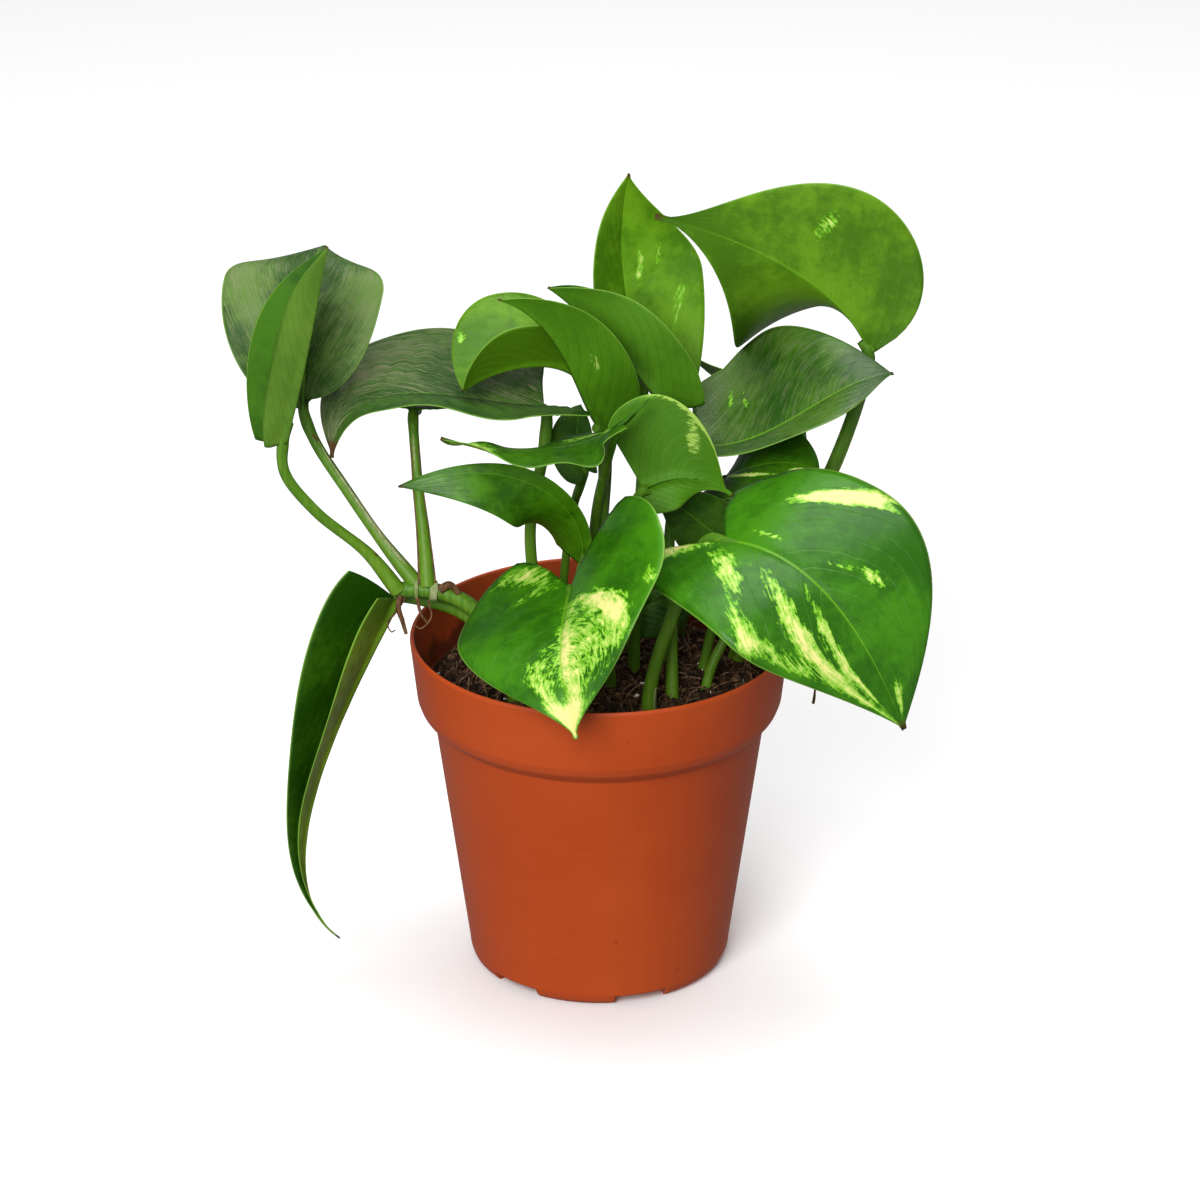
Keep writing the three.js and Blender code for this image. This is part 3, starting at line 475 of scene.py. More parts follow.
# ---- Finishes ----
def leaf_skin(look):
    """Blade colour from the leaf's own chart: u runs from the left margin to the right one, v from the
    stalk to the tip, across from 0 on the rib to 1 at either margin."""
    paint = Paint(look["name"] + "_skin")
    u, v, _ = paint.split(paint.chart())
    across = abs(u * 2 - 1)
    side = paint.maths("SIGN", u - 0.5)
    place = paint.place()
    wobble = paint.noise(place, 60, 2)
    vein_place = v - look["slant"] * across ** VEIN_BEND
    phase = paint.maths("FRACT", vein_place * look["veins"] + wobble * 0.8 + 20)
    vein = paint.step(abs(phase - 0.5), *VEIN_LINE)
    silk = paint.noise(paint.vector(vein_place * 90, across * 5, side * 3), 1.0, 3, 0.6)
    cloud = paint.noise(place, 45, 4)
    fine = paint.noise(place, 330, 4, 0.7)
    # The fine vein lines lighten the colour as painted highlight streaks; cloud and fine noise vary the tone
    # at random
    shade = paint.step(cloud + (silk - 0.5) * (0.35 * look["silk"]) + (fine - 0.5) * 0.35, 0.36, 0.66)
    colour = paint.blend(shade, look["deep"], look["bright"])
    # Painted reflection: grey laid along the fine lines over part of the blade's width
    sheen = paint.step(silk * 0.8 + cloud * 0.2, 0.47, 0.62) * paint.step(u, *look["silver_side"])
    colour = paint.blend(sheen * look["silver"], colour, PAINTED_SHEEN_GREY)
    colour = paint.blend(vein * 0.16 * (1 - across * 0.8), colour, VEIN_GREEN)
    streak = paint.noise(paint.vector(vein_place * 42, across * 10, side * 3), 1.0, 6, 0.72, 0.6)
    blotch = paint.noise(place, 330, 5, 0.75)
    marbled = paint.worn("cream")
    ragged = (streak - NOISE_MIDDLE) * STREAK_PULL + (blotch - NOISE_MIDDLE) * BLOTCH_PULL
    pale = marbled + ragged * (paint.step(marbled, 0.1, 0.5) * 0.6 + 0.4)
    colour = paint.coated(colour, *((tint, pale, low, high) for tint, low, high in MARBLING))
    rib = 1 - paint.step(across * (0.5 + v), *RIB_LINE)
    colour = paint.blend(rib * 0.6, colour, VEIN_GREEN)
    under = paint.blend(0.6, paint.blend(shade, look["deep"], look["under"]), look["under"])
    under = paint.blend(vein * 0.45, under, look["deep"])
    under = paint.coated(under, (PALE_LIME, pale, 0.5, 0.8, 0.7))
    colour = paint.blend(paint.worn("underside"), colour, under)
    dry = look["dried"]
    colour = paint.coated(colour, (EDGE_GREEN, across, *MARGIN_LINE, 0.5),
                          (DRIED, v + blotch * 0.03, dry, dry + 0.03))
    gloss = look["gloss"] - 0.1 + cloud * 0.2 + silk * (0.12 * look["silk"]) + paint.worn("underside") * 0.2
    relief = vein * -0.3 + silk * look["silk"] + blotch * 0.12
    return paint.finish(colour, gloss, relief, 0.45, 0.0004, IOR=look["index"])


def stalk_skin(name, low, high):
    """Stalks and stem: fine lines along them, paler at the foot than at the blade."""
    paint = Paint(name)
    place = paint.place()
    lines = paint.noise(paint.stretch(place, (900, 900, 60)), 1.0, 2)
    cloud = paint.noise(place, 90, 3)
    spots = paint.noise(place, 170, 2)
    colour = paint.coated(paint.blend(paint.worn("along"), low, high),
                          (STALK_LINE, lines, 0.4, 0.7, 0.4), (STALK_CLOUD, cloud, 0.35, 0.65, 0.35),
                          (STALK_SPOT, spots, 0.7, 0.76, 0.8))
    return paint.finish(colour, 0.40 + cloud * 0.1, lines, 0.25, 0.0003, Specular_IOR_Level=0.25)


def husk_skin(name, dark, light):
    """Dry sheaths, scars and roots."""
    paint = Paint(name)
    place = paint.place()
    fibres = paint.noise(paint.stretch(place, (1400, 1400, 90)), 1.0, 3)
    cloud = paint.noise(place, 200, 3)
    colour = paint.coated(dark, (light, fibres * 0.6 + cloud * 0.4, 0.35, 0.65))
    return paint.finish(colour, 0.5 + fibres * 0.2, fibres, 0.5, 0.0004, Specular_IOR_Level=0.2)


def pot_skin():
    """Terracotta-coloured moulded plastic with faint flow lines, dust and scuffs, painted shade inside the
    collar and dirt near the soil.
    """
    paint = Paint("terracotta_plastic")
    place = paint.place()
    x, y, z = paint.split(place)
    radius = paint.maths("SQRT", x * x + y * y)
    cloud = paint.noise(place, 22, 4)
    grain = paint.noise(place, 1500, 2)
    scuff = paint.noise(paint.stretch(place, (60, 60, 900)), 1.0, 4, 0.7)
    fleck = paint.noise(place, 480, 2)
    colour = paint.coated(TERRACOTTA, (PALE_TERRACOTTA, cloud, 0.3, 0.75), (POT_SCUFF, scuff, 0.62, 0.8, 0.2),
                          (POT_GRAIN, grain, 0.66, 0.8, 0.08), (POT_FLECK, fleck, 0.72, 0.76, 0.5))
    middle_of_wall = MIDWALL_RADIUS + z * MIDWALL_SLOPE
    lip = COLLAR_LOW_HEIGHT * MM
    inside = paint.step(middle_of_wall - radius, 0.0, SOFT_EDGE) * paint.step(z, lip, lip + SOFT_EDGE)
    dirt = paint.noise(place, 140, 5, 0.7) + (DIRT_HEIGHT - z) * DIRT_FADE
    # Painted shade: the collar's inside is darkened
    colour = paint.blend(inside * 0.45, colour, PAINTED_INSIDE_SHADE)
    colour = paint.blend(inside * paint.step(dirt, 0.5, 0.7) * 0.85, colour, POT_DIRT)
    return paint.finish(colour, 0.42 + cloud * 0.12 + grain * 0.06, scuff + grain * 0.4, 0.1, 0.0004,
                        IOR=1.33)


def soil_skin():
    """Damp peat."""
    paint = Paint("peat_soil")
    place = paint.place()
    crumbs = paint.noise(place, 420, 6, 0.7)
    cloud = paint.noise(place, 60, 3)
    colour = paint.blend(cloud * 0.4, paint.coated(DARK_PEAT, (PEAT, crumbs, 0.35, 0.7)), DAMP_PEAT)
    return paint.finish(colour, 0.92, crumbs, 0.9, 0.002, Specular_IOR_Level=0.2)


def speck_skin(name, dark, light, roughness):
    """Crumbs, fibres and mineral bits of the potting mix."""
    paint = Paint(name)
    speckle = paint.noise(paint.place(), 700, 4)
    colour = paint.coated(dark, (light, speckle, 0.35, 0.65))
    return paint.finish(colour, roughness, speckle, 0.5, 0.0005, Specular_IOR_Level=0.2)


# ---- Meshes ----
def in_scene(name, data):
    thing = bpy.data.objects.new(name, data)
    bpy.context.scene.collection.objects.link(thing)
    return thing


def new_piece(name, points, faces, materials):
    mesh = bpy.data.meshes.new(name)
    mesh.from_pydata([tuple(p) for p in points], [], faces)
    mesh.update()
    mesh.polygons.foreach_set("use_smooth", [True] * len(mesh.polygons))
    for material in materials:
        mesh.materials.append(material)
    return in_scene(name, mesh)


def carry(mesh, name, values):
    """Gives each point of the mesh a number that its finish reads."""
    attribute = mesh.attributes.new(name, "FLOAT", "POINT")
    attribute.data.foreach_set("value", np.asarray(values, np.float32))


def settle(piece):
    """Applies the piece's modifiers and leaves a plain mesh."""
    bpy.context.view_layer.update()
    graph = bpy.context.evaluated_depsgraph_get()
    mesh = bpy.data.meshes.new_from_object(piece.evaluated_get(graph), preserve_all_data_layers=True,
                                           depsgraph=graph)
    piece.modifiers.clear()
    if piece.type == "MESH":
        piece.data = mesh
        return piece
    plain = in_scene(piece.name + "_mesh", mesh)
    bpy.data.objects.remove(piece)
    return plain


def join(first, others):
    """Makes one object of several that grew as one."""
    everything = [first, *others]
    with bpy.context.temp_override(active_object=first, object=first, selected_objects=everything,
                                   selected_editable_objects=everything):
        bpy.ops.object.join()
    return first


# ---- The blade ----
def cubic(rib, t):
    """The smooth curve through the rib's four points."""
    total = np.zeros(t.shape + (3,))
    for i in range(4):
        weight = np.ones_like(t)
        for j in range(4):
            if j != i:
                weight = weight * (3 * t - j) / (i - j)
        total += weight[..., None] * rib[i]
    return total


def along_rib(rib, t):
    """The rib's curve, carried on straight behind the stalk."""
    behind = (cubic(rib, np.array(RIB_STEP)) - rib[0]) / RIB_STEP
    return cubic(rib, np.maximum(t, 0)) + np.minimum(t, 0)[..., None] * behind


def unit(vectors):
    return vectors / np.linalg.norm(vectors, axis=-1, keepdims=True)


def blade_points(shape, u, v):
    """Points of the blade's middle surface and the way each faces. v runs from -1 at the left margin,
    over 0 on the rib, to 1 at the right margin."""
    rib = np.array(shape["rib"], float)
    face = unit(np.array([shape["face"][0], shape["face"][-1]], float))
    right_side = v >= 0
    sign = np.where(right_side, 1.0, -1.0)
    out = np.abs(v)

    def pick(pair):
        return np.where(right_side, pair[1], pair[0])

    length = np.linalg.norm(np.diff(rib, axis=0), axis=1).sum()
    sweep = pick(shape["lobe"]) * np.sin(out * math.pi / 2) * (1 - u) ** 3
    sweep = sweep + pick(shape["lean"]) * out * (1 - u)
    t = u - sweep / length
    inside = np.clip(t, 0, 1)
    forward = unit(along_rib(rib, inside + RIB_STEP) - along_rib(rib, inside - RIB_STEP))
    up = face[0] + inside[..., None] * (face[1] - face[0])
    up = unit(up - forward * (up * forward).sum(-1, keepdims=True))
    right = np.cross(forward, up)
    widest, heel = shape["widest"], shape["heel"]
    back = np.clip((widest - u) / widest, 0, 1)
    ahead = np.clip((u - widest) / (1 - widest), 0, 1)
    share = np.where(u < widest, np.sqrt(1 - back * back * (1 - heel * heel)),
                     np.maximum(TIP_FRACTION, (1 - ahead * ahead) ** shape["taper"]))
    half = pick(shape["half"]) - MARGIN_INSET
    width = half * share * out
    fold_at_base, fold_at_tip = zip(*shape["fold"])
    fold = np.radians(pick(fold_at_base) * (1 - u) + pick(fold_at_tip) * u)
    bend = np.radians(pick(shape["curl"])) / half
    bend = np.where(bend == 0, LEAST_BEND, bend)
    end = fold + bend * width
    across = (sign * (np.sin(end) - np.sin(fold)) / bend)[..., None]
    rise = ((np.cos(fold) - np.cos(end)) / bend)[..., None]
    facing = up * np.cos(end)[..., None] - right * (sign * np.sin(end))[..., None]
    height, count = shape["wave"]
    wave = height * out * out * np.sin(2 * math.pi * count * u + right_side * WAVE_SHIFT)
    return along_rib(rib, t) + right * across + up * rise + facing * wave[..., None], facing, width


def blade(shape, material):
    """The blade with its sunken veins above, its raised rib below and its thin margin."""
    steps = np.linspace(-1, 1, 2 * HALF_COLUMNS + 1)
    v_line = np.sign(steps) * np.abs(steps) ** COLUMN_CROWDING
    u_line = np.linspace(0, 1, BLADE_ROWS + 1)
    u, v = np.meshgrid(u_line, v_line, indexing="ij")
    middle, facing, width = blade_points(shape, u, v)
    out = np.abs(v)
    vein_place = u - shape["slant"] * out ** VEIN_BEND
    ridge = np.abs(np.sin(math.pi * shape["veins"] * vein_place)) ** 0.6 - 0.6
    fade = np.sin(math.pi * np.clip(out, 0, 1)) ** 0.7 * (1 - u ** 4)
    quilt = shape["ripple"] * ridge * fade
    groove = -GROOVE_DEPTH * np.exp(-(width / GROOVE_WIDTH) ** 2) * (1 - u)
    middle = middle + facing * (quilt + groove)[..., None]
    thick = BLADE_THICKNESS * (1 - 0.5 * out ** 4)
    grip = shape["grip"]
    keel = KEEL_HEIGHT * grip * np.exp(-(width / (KEEL_WIDTH * grip)) ** 2) * (1 - u) ** 1.2
    top = middle + facing * (thick / 2)[..., None]
    bottom = middle - facing * (thick / 2 + keel * 0.5)[..., None]
    points = np.concatenate([top.reshape(-1, 3), bottom.reshape(-1, 3)]) * MM
    columns, rows = len(v_line), len(u_line)
    under = rows * columns

    def wall(a, b):
        return a, b, under + b, under + a

    faces = []
    for i in range(rows - 1):
        for j in range(columns - 1):
            a, b = i * columns + j, i * columns + j + 1
            c, d = b + columns, a + columns
            faces += [(a, b, c, d), (under + a, under + d, under + c, under + b)]
        left, right = i * columns, (i + 1) * columns - 1
        faces += [wall(left, left + columns), wall(right + columns, right)]
    for j in range(columns - 1):
        last = (rows - 1) * columns + j
        faces += [wall(j + 1, j), wall(last, last + 1)]
    piece = new_piece(shape["name"] + "_blade", points, faces, [material])
    mesh = piece.data
    cream = np.zeros_like(u)
    for foot, middle_v, reach, reach_v, slant, strength in shape["patches"]:
        cream += strength * np.exp(-((u - slant * out - foot) / reach) ** 2 - ((v - middle_v) / reach_v) ** 2)
    carry(mesh, "cream", np.tile(cream.ravel(), 2))
    carry(mesh, "underside", np.repeat([0.0, 1.0], under))
    chart = np.stack([0.5 + 0.5 * v, u], axis=-1).reshape(-1, 2)
    corner_points = np.zeros(len(mesh.loops), int)
    mesh.loops.foreach_get("vertex_index", corner_points)
    layer = mesh.uv_layers.new(name="UVMap")
    layer.data.foreach_set("uv", chart[corner_points % under].ravel())
    return piece


# ---- What follows a path ----
class Growth(NodeTree):
    """A Geometry Nodes tree with named inputs, of which the last is the finish."""

    family = "GeometryNode"

    def __init__(self, name, **inputs):
        self.tree = bpy.data.node_groups.new(name, "GeometryNodeTree")
        self.tree.is_modifier = True
        face = self.tree.interface
        face.new_socket("Geometry", in_out="INPUT", socket_type="NodeSocketGeometry")
        for label, kind in {**inputs, "Finish": "Material"}.items():
            face.new_socket(label, in_out="INPUT", socket_type="NodeSocket" + kind)
        face.new_socket("Geometry", in_out="OUTPUT", socket_type="NodeSocketGeometry")
        self.entry = self.tree.nodes.new("NodeGroupInput")
        self.exit = self.tree.nodes.new("NodeGroupOutput")

    def given(self, label):
        return self.entry.outputs[label]

    def fall(self, value, reach):
        """1 at nothing, 0 from reach on, smooth between."""
        return self.make("ShaderNodeMapRange", SMOOTH, **numbered((value, 0.0, reach, 1.0, 0.0)))

    def end(self, geometry):
        """Realizes what was placed and gives it its finish."""
        real = self.make("RealizeInstances", Geometry=geometry)
        dressed = self.make("SetMaterial", Geometry=real, Material=self.given("Finish"))
        self.tree.links.new(dressed.outputs[0], self.exit.inputs[0])

    def grow(self, piece, **values):
        """Runs the tree on the piece with these inputs."""
        modifier = piece.modifiers.new(self.tree.name, "NODES")
        modifier.node_group = self.tree
        for item in self.tree.interface.items_tree:
            if item.in_out == "INPUT" and item.name in values:
                modifier[item.identifier] = values[item.name]
        return settle(piece)


def tube_growth():
    """A round rod along a path, thicker at its foot and with a knee near its top."""
    growth = Growth("tube_along_path", Radius="Float", Flare="Float", Knee="Float", Thinning="Float",
                    Sides="Int")
    make, maths, given = growth.make, growth.maths, growth.given
    even = make("ResampleCurve", Curve=given("Geometry"), Count=TUBE_RINGS)
    share = make("SplineParameter").outputs["Factor"]
    flared = maths("MULTIPLY_ADD", growth.fall(share, FLARE_REACH), given("Flare"), 1.0)
    from_knee = maths("ABSOLUTE", maths("SUBTRACT", share, KNEE_PLACE))
    swollen = maths("MULTIPLY_ADD", growth.fall(from_knee, KNEE_REACH), given("Knee"), flared)
    thinned = maths("SUBTRACT", swollen, maths("MULTIPLY", share, given("Thinning")))
    radius = maths("MULTIPLY", thinned, given("Radius"))
    marked = make("StoreNamedAttribute", Geometry=even, Name="along", Value=share)
    sized = make("SetCurveRadius", Curve=marked, Radius=1.0)
    ring = make("CurvePrimitiveCircle", Resolution=given("Sides"), Radius=1.0)
    skin = make("CurveToMesh", Curve=sized, Profile_Curve=ring, Fill_Caps=True, Scale=radius)
    growth.end(make("SetShadeSmooth", Geometry=skin))
    return growth


def smooth_path(points, per_span=14):
    """A centripetal curve through the points, as a list of points."""
    p = [np.array(q, float) for q in points]
    p = [2 * p[0] - p[1], *p, 2 * p[-1] - p[-2]]
    path = []
    for a, b, c, d in zip(p, p[1:], p[2:], p[3:]):
        gaps = [np.linalg.norm(y - x) ** 0.5 for x, y in ((a, b), (b, c), (c, d))]
        leave = ((b - a) / gaps[0] - (c - a) / (gaps[0] + gaps[1]) + (c - b) / gaps[1]) * gaps[1]
        arrive = ((c - b) / gaps[1] - (d - b) / (gaps[1] + gaps[2]) + (d - c) / gaps[2]) * gaps[1]
        for i in range(per_span):
            s = i / per_span
            path.append(b + s * leave + s * s * (3 * (c - b) - 2 * leave - arrive)
                        + s ** 3 * (2 * (b - c) + leave + arrive))
    path.append(p[-2])
    return path


def rod(name, points, radius, tint, flare=0.0, knee=0.0, thinning=0.0, sides=STALK_SIDES):
    """A rod along a smooth path through the points, in mm."""
    data = bpy.data.curves.new(name, "CURVE")
    data.dimensions = "3D"
    spline, path = data.splines.new("POLY"), smooth_path(points)
    spline.points.add(len(path) - 1)
    for target, place in zip(spline.points, path):
        target.co = (*(np.asarray(place) * MM), 1)
    return TUBES.grow(in_scene(name, data), Radius=radius * MM, Flare=flare, Knee=knee, Thinning=thinning,
                      Sides=sides, Finish=STALK_FINISHES[tint])


# ---- The pot ----
def rounded(profile, reach=0.5, steps=4):
    """The profile with each inner corner rounded."""
    points = [np.array(p, float) for p in profile]
    smooth = [points[0]]
    for before, corner, after in zip(points, points[1:], points[2:]):
        cut = min(reach, np.linalg.norm(corner - before) / 2.2, np.linalg.norm(after - corner) / 2.2)
        start = corner + cut * unit(before - corner)
        end = corner + cut * unit(after - corner)
        for i in range(steps + 1):
            s = i / steps
            smooth.append((1 - s) ** 2 * start + 2 * s * (1 - s) * corner + s * s * end)
    return [*smooth, points[-1]]


def turned(name, profile, sides, material):
    """The profile of radius and height, turned round the pot's axis. Its ends lie on the axis."""
    points, faces = [(0, 0, profile[0][1] * MM)], []
    for radius, height in profile[1:-1]:
        for k in range(sides):
            angle = 2 * math.pi * k / sides
            points.append((radius * math.cos(angle) * MM, radius * math.sin(angle) * MM, height * MM))
    points.append((0, 0, profile[-1][1] * MM))
    top = 1 + (len(profile) - 3) * sides
    for k in range(sides):
        following = (k + 1) % sides
        faces.append((0, 1 + following, 1 + k))
        for low in range(1, top, sides):
            faces.append((low + k, low + following, low + sides + following, low + sides + k))
        faces.append((top + k, top + following, len(points) - 1))
    return new_piece(name, points, faces, [material])


def pot_profile():
    def inner(radius):
        return radius - WALL_THICKNESS

    floor = FOOT_RECESS + FLOOR_THICKNESS
    return [
        (0, 0), (CENTRE_PAD_RADIUS, 0), (CENTRE_PAD_RADIUS + 1, FOOT_RECESS),
        (FOOT_RADIUS - FOOT_WIDTH - 1, FOOT_RECESS), (FOOT_RADIUS - FOOT_WIDTH, 0), (FOOT_RADIUS, 0),
        (FOOT_RADIUS + 1.6, 1.4), (WALL_LOW_RADIUS - 0.3, 3.4), (WALL_LOW_RADIUS, WALL_LOW_HEIGHT),
        (WALL_TOP_RADIUS, COLLAR_FOOT_HEIGHT - 0.4), (COLLAR_FOOT_RADIUS, COLLAR_FOOT_HEIGHT),
        (COLLAR_LOW_RADIUS - 0.9, COLLAR_LOW_HEIGHT - 2.4), (COLLAR_LOW_RADIUS, COLLAR_LOW_HEIGHT),
        (RIM_RADIUS, POT_HEIGHT - 0.9), (RIM_RADIUS - 0.5, POT_HEIGHT),
        (inner(RIM_RADIUS), POT_HEIGHT - 0.4), (inner(COLLAR_LOW_RADIUS), COLLAR_LOW_HEIGHT + 1),
        (inner(WALL_TOP_RADIUS), COLLAR_FOOT_HEIGHT + 0.8), (inner(WALL_LOW_RADIUS), WALL_LOW_HEIGHT + 1),
        (inner(FOOT_RADIUS), floor), (0, floor),
    ]


def drain_cutters():
    """A notch in the foot and a hole in the floor for each drain."""
    cutters = []
    for i in range(DRAIN_COUNT):
        angle = math.radians(DRAIN_FIRST_ANGLE + 360 * i / DRAIN_COUNT)
        outward = Vector((math.sin(angle), -math.cos(angle), 0))
        bpy.ops.mesh.primitive_cube_add(size=1)
        notch = bpy.context.object
        notch.scale = (DRAIN_NOTCH_WIDTH * MM, (2 * FOOT_WIDTH + 6) * MM, 2 * DRAIN_NOTCH_HEIGHT * MM)
        notch.rotation_euler.z = angle
        notch.location = outward * FOOT_RADIUS * MM
        bpy.ops.mesh.primitive_cylinder_add(vertices=40, radius=DRAIN_HOLE_RADIUS * MM,
                                            depth=4 * FLOOR_THICKNESS * MM)
        hole = bpy.context.object
        hole.location = outward * DRAIN_HOLE_PITCH_RADIUS * MM + Vector((0, 0, FOOT_RECESS * MM))
        cutters += [notch, hole]
    return cutters


def make_pot():
    pot = turned("nursery_pot", rounded(pot_profile()), POT_SIDES, pot_skin())
    cutters = drain_cutters()
    for cutter in cutters:
        cut = pot.modifiers.new("drain", "BOOLEAN")
        cut.operation, cut.solver, cut.object = "DIFFERENCE", "EXACT", cutter
    settle(pot)
    for cutter in cutters:
        bpy.data.objects.remove(cutter)
    return pot


# ---- The soil ----
def inner_radius(height):
    share = (height - WALL_LOW_HEIGHT) / (COLLAR_FOOT_HEIGHT - WALL_LOW_HEIGHT)
    return WALL_LOW_RADIUS + share * (WALL_TOP_RADIUS - WALL_LOW_RADIUS) - WALL_THICKNESS


def soil_top(x, y):
    """Height of the soil's uneven surface."""
    radius = np.hypot(x, y)
    base = np.interp(radius, [0, 0.3 * SOIL_RADIUS, 0.6 * SOIL_RADIUS, SOIL_RADIUS - 6, SOIL_RADIUS],
                     [SOIL_HEIGHT + 1, SOIL_HEIGHT + 1, SOIL_HEIGHT + 0.5, SOIL_HEIGHT - 0.5,
                      COLLAR_LOW_HEIGHT + 1])
    ripple = np.sin(SOIL_LONG_RIPPLE * x + 1) * np.cos(SOIL_LONG_RIPPLE * y)
    ripple = ripple + SHORT_RIPPLE_SHARE * np.sin(SOIL_SHORT_RIPPLE * (x - y))
    clods = CLOD_HEIGHT * np.sin(1.7 * x + np.sin(1.1 * y) * 2) * np.sin(1.5 * y + np.cos(0.9 * x) * 2)
    return base + (SOIL_BUMP * ripple + clods) * np.clip((SOIL_RADIUS - radius) / SOIL_CALM_MARGIN, 0, 1)


def make_soil(finish):
    low = FOOT_RECESS + FLOOR_THICKNESS + 0.3
    side = [(0, low), (FOOT_RADIUS - WALL_THICKNESS - 1.3, low),
            (inner_radius(WALL_LOW_HEIGHT + 2) - 0.8, WALL_LOW_HEIGHT + 2.5),
            (inner_radius(COLLAR_FOOT_HEIGHT) - 0.6, COLLAR_FOOT_HEIGHT),
            (inner_radius(COLLAR_FOOT_HEIGHT) - 0.4, COLLAR_FOOT_HEIGHT + 1.5)]
    rings = [(SOIL_RADIUS * (1 - i / SOIL_RINGS), 0) for i in range(SOIL_RINGS)]
    soil = turned("soil_mix", [*side, *rings, (0, 0)], SOIL_SPOKES, finish)
    covered = 1 + (len(side) - 1) * SOIL_SPOKES
    for vertex in soil.data.vertices[covered:]:
        x, y = vertex.co.x / MM, vertex.co.y / MM
        vertex.co.z = float(soil_top(x, y)) * MM
    return soil


def scatter_growth(name, shape):
    """Scatters a small shape over a surface, turned and sized at random from a fixed seed."""
    growth = Growth(name, Density="Float", Size="Float", Spread="Float", Seed="Int")
    make, given = growth.make, growth.given
    spots = make("DistributePointsOnFaces", Mesh=given("Geometry"), Density=given("Density"),
                 Seed=given("Seed"))
    turn = make("FunctionNodeRandomValue", {"data_type": "FLOAT_VECTOR"}, Seed=given("Seed"),
                i0=(0, 0, 0), i1=(FULL_TURN,) * 3)
    size = make("FunctionNodeRandomValue", Seed=given("Seed"),
                i2=growth.maths("MULTIPLY", given("Size"), given("Spread")), i3=given("Size"))
    growth.end(make("InstanceOnPoints", Points=spots, Instance=shape(growth), Rotation=turn,
                    Scale=size.outputs[1]))
    return growth


def crumb_shape(growth):
    """A lump with uneven sides, one unit across."""
    ball = growth.make("MeshIcoSphere", Radius=0.5, Subdivisions=1)
    rough = growth.make("ShaderNodeTexNoise", Scale=2.2, Detail=2.0)
    push = growth.make("ShaderNodeVectorMath", {"operation": "SUBTRACT"}, i0=rough.outputs["Color"],
                       i1=(0.5, 0.5, 0.5))
    return growth.make("SetPosition", Geometry=ball, Offset=push)


def fibre_shape(growth):
    """A bent hair-like root, one unit long."""
    arc = growth.make("CurveQuadraticBezier", Resolution=7, Start=(-0.5, 0, 0), Middle=(0.1, 0.35, 0.2),
                      End=(0.5, -0.1, 0.1))
    ring = growth.make("CurvePrimitiveCircle", Resolution=5, Radius=0.022)
    return growth.make("CurveToMesh", Curve=arc, Profile_Curve=ring, Fill_Caps=True)


def soil_bed():
    """The part of the soil's surface that crumbs and fibres lie on."""
    reach = SOIL_RADIUS - 2
    points, faces = [], []
    for i in range(1, BED_RINGS + 1):
        for k in range(BED_SPOKES):
            angle = 2 * math.pi * k / BED_SPOKES
            radius = reach * i / BED_RINGS
            x, y = radius * math.cos(angle), radius * math.sin(angle)
            points.append((x * MM, y * MM, float(soil_top(x, y)) * MM))
    for low in range(0, (BED_RINGS - 1) * BED_SPOKES, BED_SPOKES):
        for k in range(BED_SPOKES):
            high, following = low + BED_SPOKES, (k + 1) % BED_SPOKES
            faces.append((low + k, high + k, high + following, low + following))
    return new_piece("soil_bed", points, faces, [])


def make_litter():
    """Peat crumbs, fibres and a few mineral bits lying on the soil."""
    bed = soil_bed()
    growths = {"crumb": scatter_growth("crumbs", crumb_shape),
               "fibre": scatter_growth("fibres", fibre_shape)}
    litter = []
    for name, skin, shape, size, spread, seed, count, dark, light, roughness in LITTER:
        litter.append(growths[shape].grow(
            in_scene(name, bed.data.copy()), Size=size, Spread=spread, Seed=seed, Density=count,
            Finish=speck_skin(skin, dark, light, roughness)))
    bpy.data.objects.remove(bed)
    return litter


# ---- Leaves and stem ----
def stretch_of(path, start, end, low_shift, high_shift, count=7):
    """Points of a part of the path, moved aside."""
    low, high = np.array(low_shift, float), np.array(high_shift, float)
    return [path[round((start + (end - start) * s) * (len(path) - 1))] + low + (high - low) * s
            for s in np.linspace(0, 1, count)]


def make_leaf(shape):
    """The blade with its stalk, whose end runs on under the rib, and the sheaths that clasp the stalk."""
    name = shape["name"]
    piece = blade(shape, leaf_skin(shape))
    rib = np.array(shape["rib"], float)
    below = unit(np.array(shape["face"][0], float)) * shape["grip"]
    if min(abs(shape["fold"][0][0]), abs(shape["fold"][1][0])) > ROLLED_UP:
        below = below * 0
    way = [*shape["stalk"], rib[0] - below * DROP_AT_BASE,
           cubic(rib, np.array(STALK_REACH)) - below * DROP_AT_REACH]
    parts = [rod(name + "_stalk", way, shape["grip"], "green", STALK_FLARE, STALK_KNEE)]
    for i, (tint, *stretch, radius, thinning) in enumerate(shape["sheaths"]):
        parts.append(rod(f"{name}_sheath_{i}", stretch_of(smooth_path(way), *stretch), radius, tint,
                         thinning=thinning, sides=SHEATH_SIDES))
    return join(piece, parts)


def make_stem():
    """The thicker vine with what grows on it."""
    stem = rod("vine", STEM_ROUTE, STEM_RADIUS, "green", thinning=STEM_THINNING, sides=STEM_SIDES)
    parts = [rod(f"{name}_{i}", way, radius, tint, thinning=thinning, sides=sides)
             for name, tint, thinning, sides, rows in STEM_PARTS
             for i, (way, radius) in enumerate(rows)]
    return join(stem, parts)


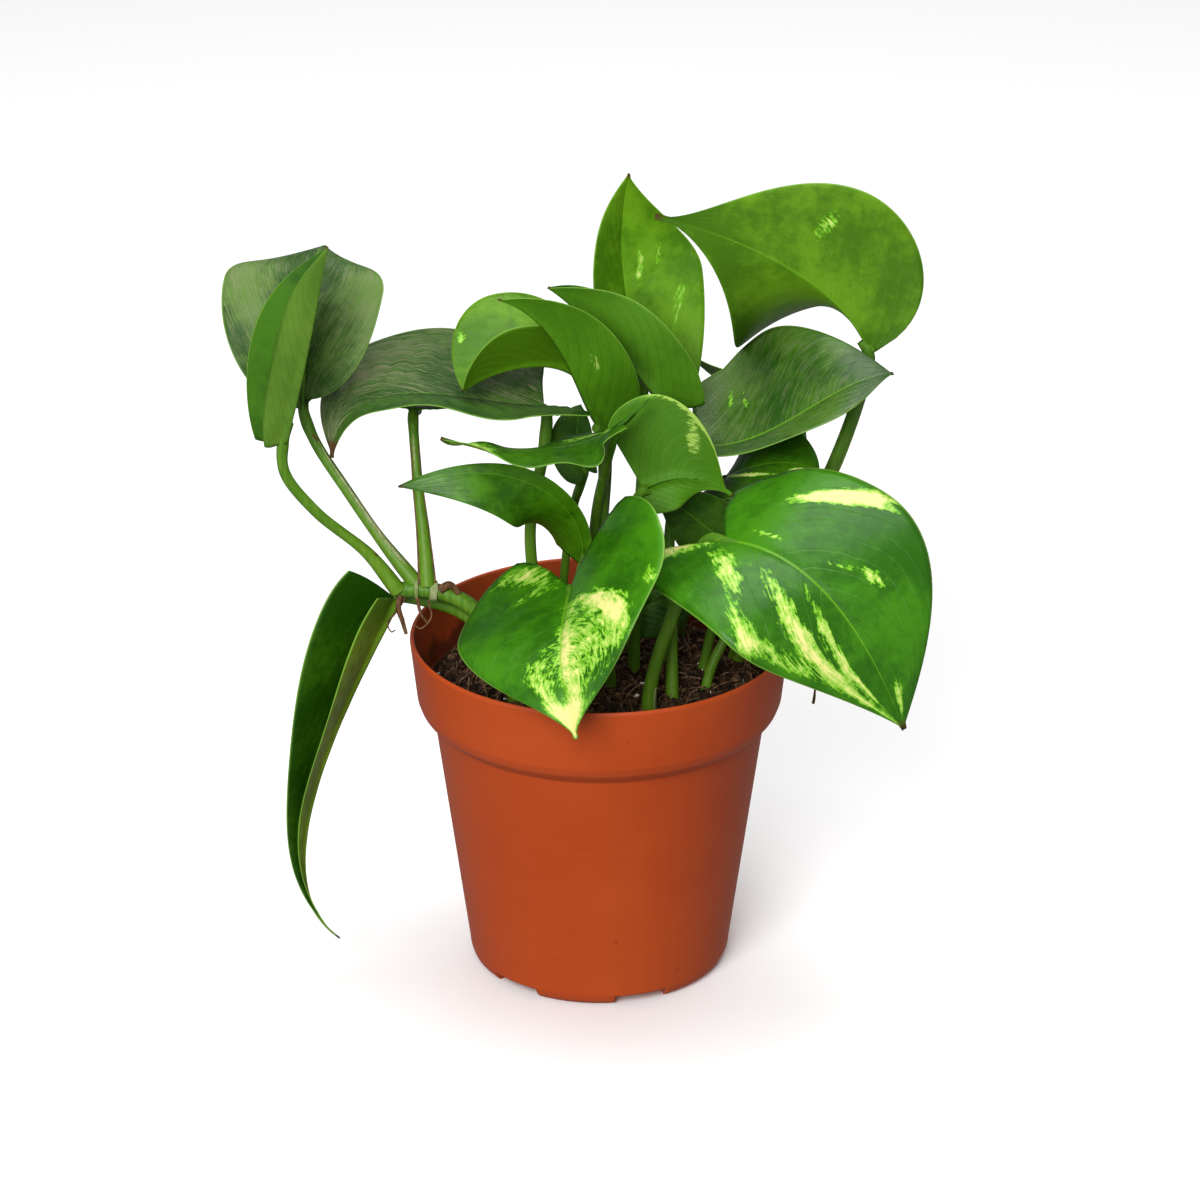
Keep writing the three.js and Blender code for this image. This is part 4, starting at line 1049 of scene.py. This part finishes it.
# ---- Room ----
def make_room():
    half = FLOOR_SIZE / 2
    corners = [(-half, -half, 0), (half, -half, 0), (half, half, 0), (-half, half, 0)]
    floor = new_piece("floor", corners, [(0, 1, 2, 3)], [Paint("pale_floor").finish(FLOOR_TONE, 0.9)])
    floor.visible_diffuse = floor.visible_glossy = False
    world = bpy.data.worlds.new("studio")
    world.use_nodes = True
    sky = world.node_tree.nodes["Background"].inputs
    sky["Color"].default_value, sky["Strength"].default_value = (1, 1, 1, 1), WORLD_LIGHT
    bpy.context.scene.world = world
    for name, place, size, power in SOFTBOXES:
        light = bpy.data.lights.new(name, "AREA")
        light.shape, light.size, light.energy = "SQUARE", size, power
        lamp = in_scene(name, light)
        lamp.location = place
        lamp.rotation_euler = (Vector(LIT_POINT) - Vector(place)).to_track_quat("-Z", "Y").to_euler()
    bpy.context.scene.view_settings.view_transform = "Standard"


def make_camera():
    data = bpy.data.cameras.new("camera")
    data.lens, data.sensor_width, data.clip_start = CAMERA_LENS, CAMERA_SENSOR, 0.01
    camera = in_scene("camera", data)
    pitch = math.radians(CAMERA_PITCH)
    camera.location = Vector(CAMERA_AIM) + CAMERA_DISTANCE * Vector((0, -math.cos(pitch), math.sin(pitch)))
    camera.rotation_euler = (math.pi / 2 - pitch, 0, 0)
    bpy.context.scene.camera = camera


# ---- The whole ----
make_camera()
make_room()
TUBES = tube_growth()
STALK_FINISHES = {
    "green": stalk_skin("stalk_green", (0.12, 0.25, 0.012), (0.06, 0.17, 0.008)),
    "pale": husk_skin("pale_sheath", (0.16, 0.22, 0.05), (0.36, 0.38, 0.20)),
    "brown": husk_skin("dry_husk", (0.06, 0.025, 0.010), (0.20, 0.10, 0.04)),
}

pieces = [(make_pot(), "pot", "pot_plastic"),
          (make_soil(soil_skin()), "soil", "peat_soil"),
          (make_stem(), "trailing_stem", "green_stem")]
pieces += [(make_leaf(shape), shape["name"], shape["slot"]) for shape in LEAVES]
pieces += [(piece, "soil", "peat_soil") for piece in make_litter()]
for piece, node, slot in pieces:
    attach(piece, "root")
    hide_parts(node)
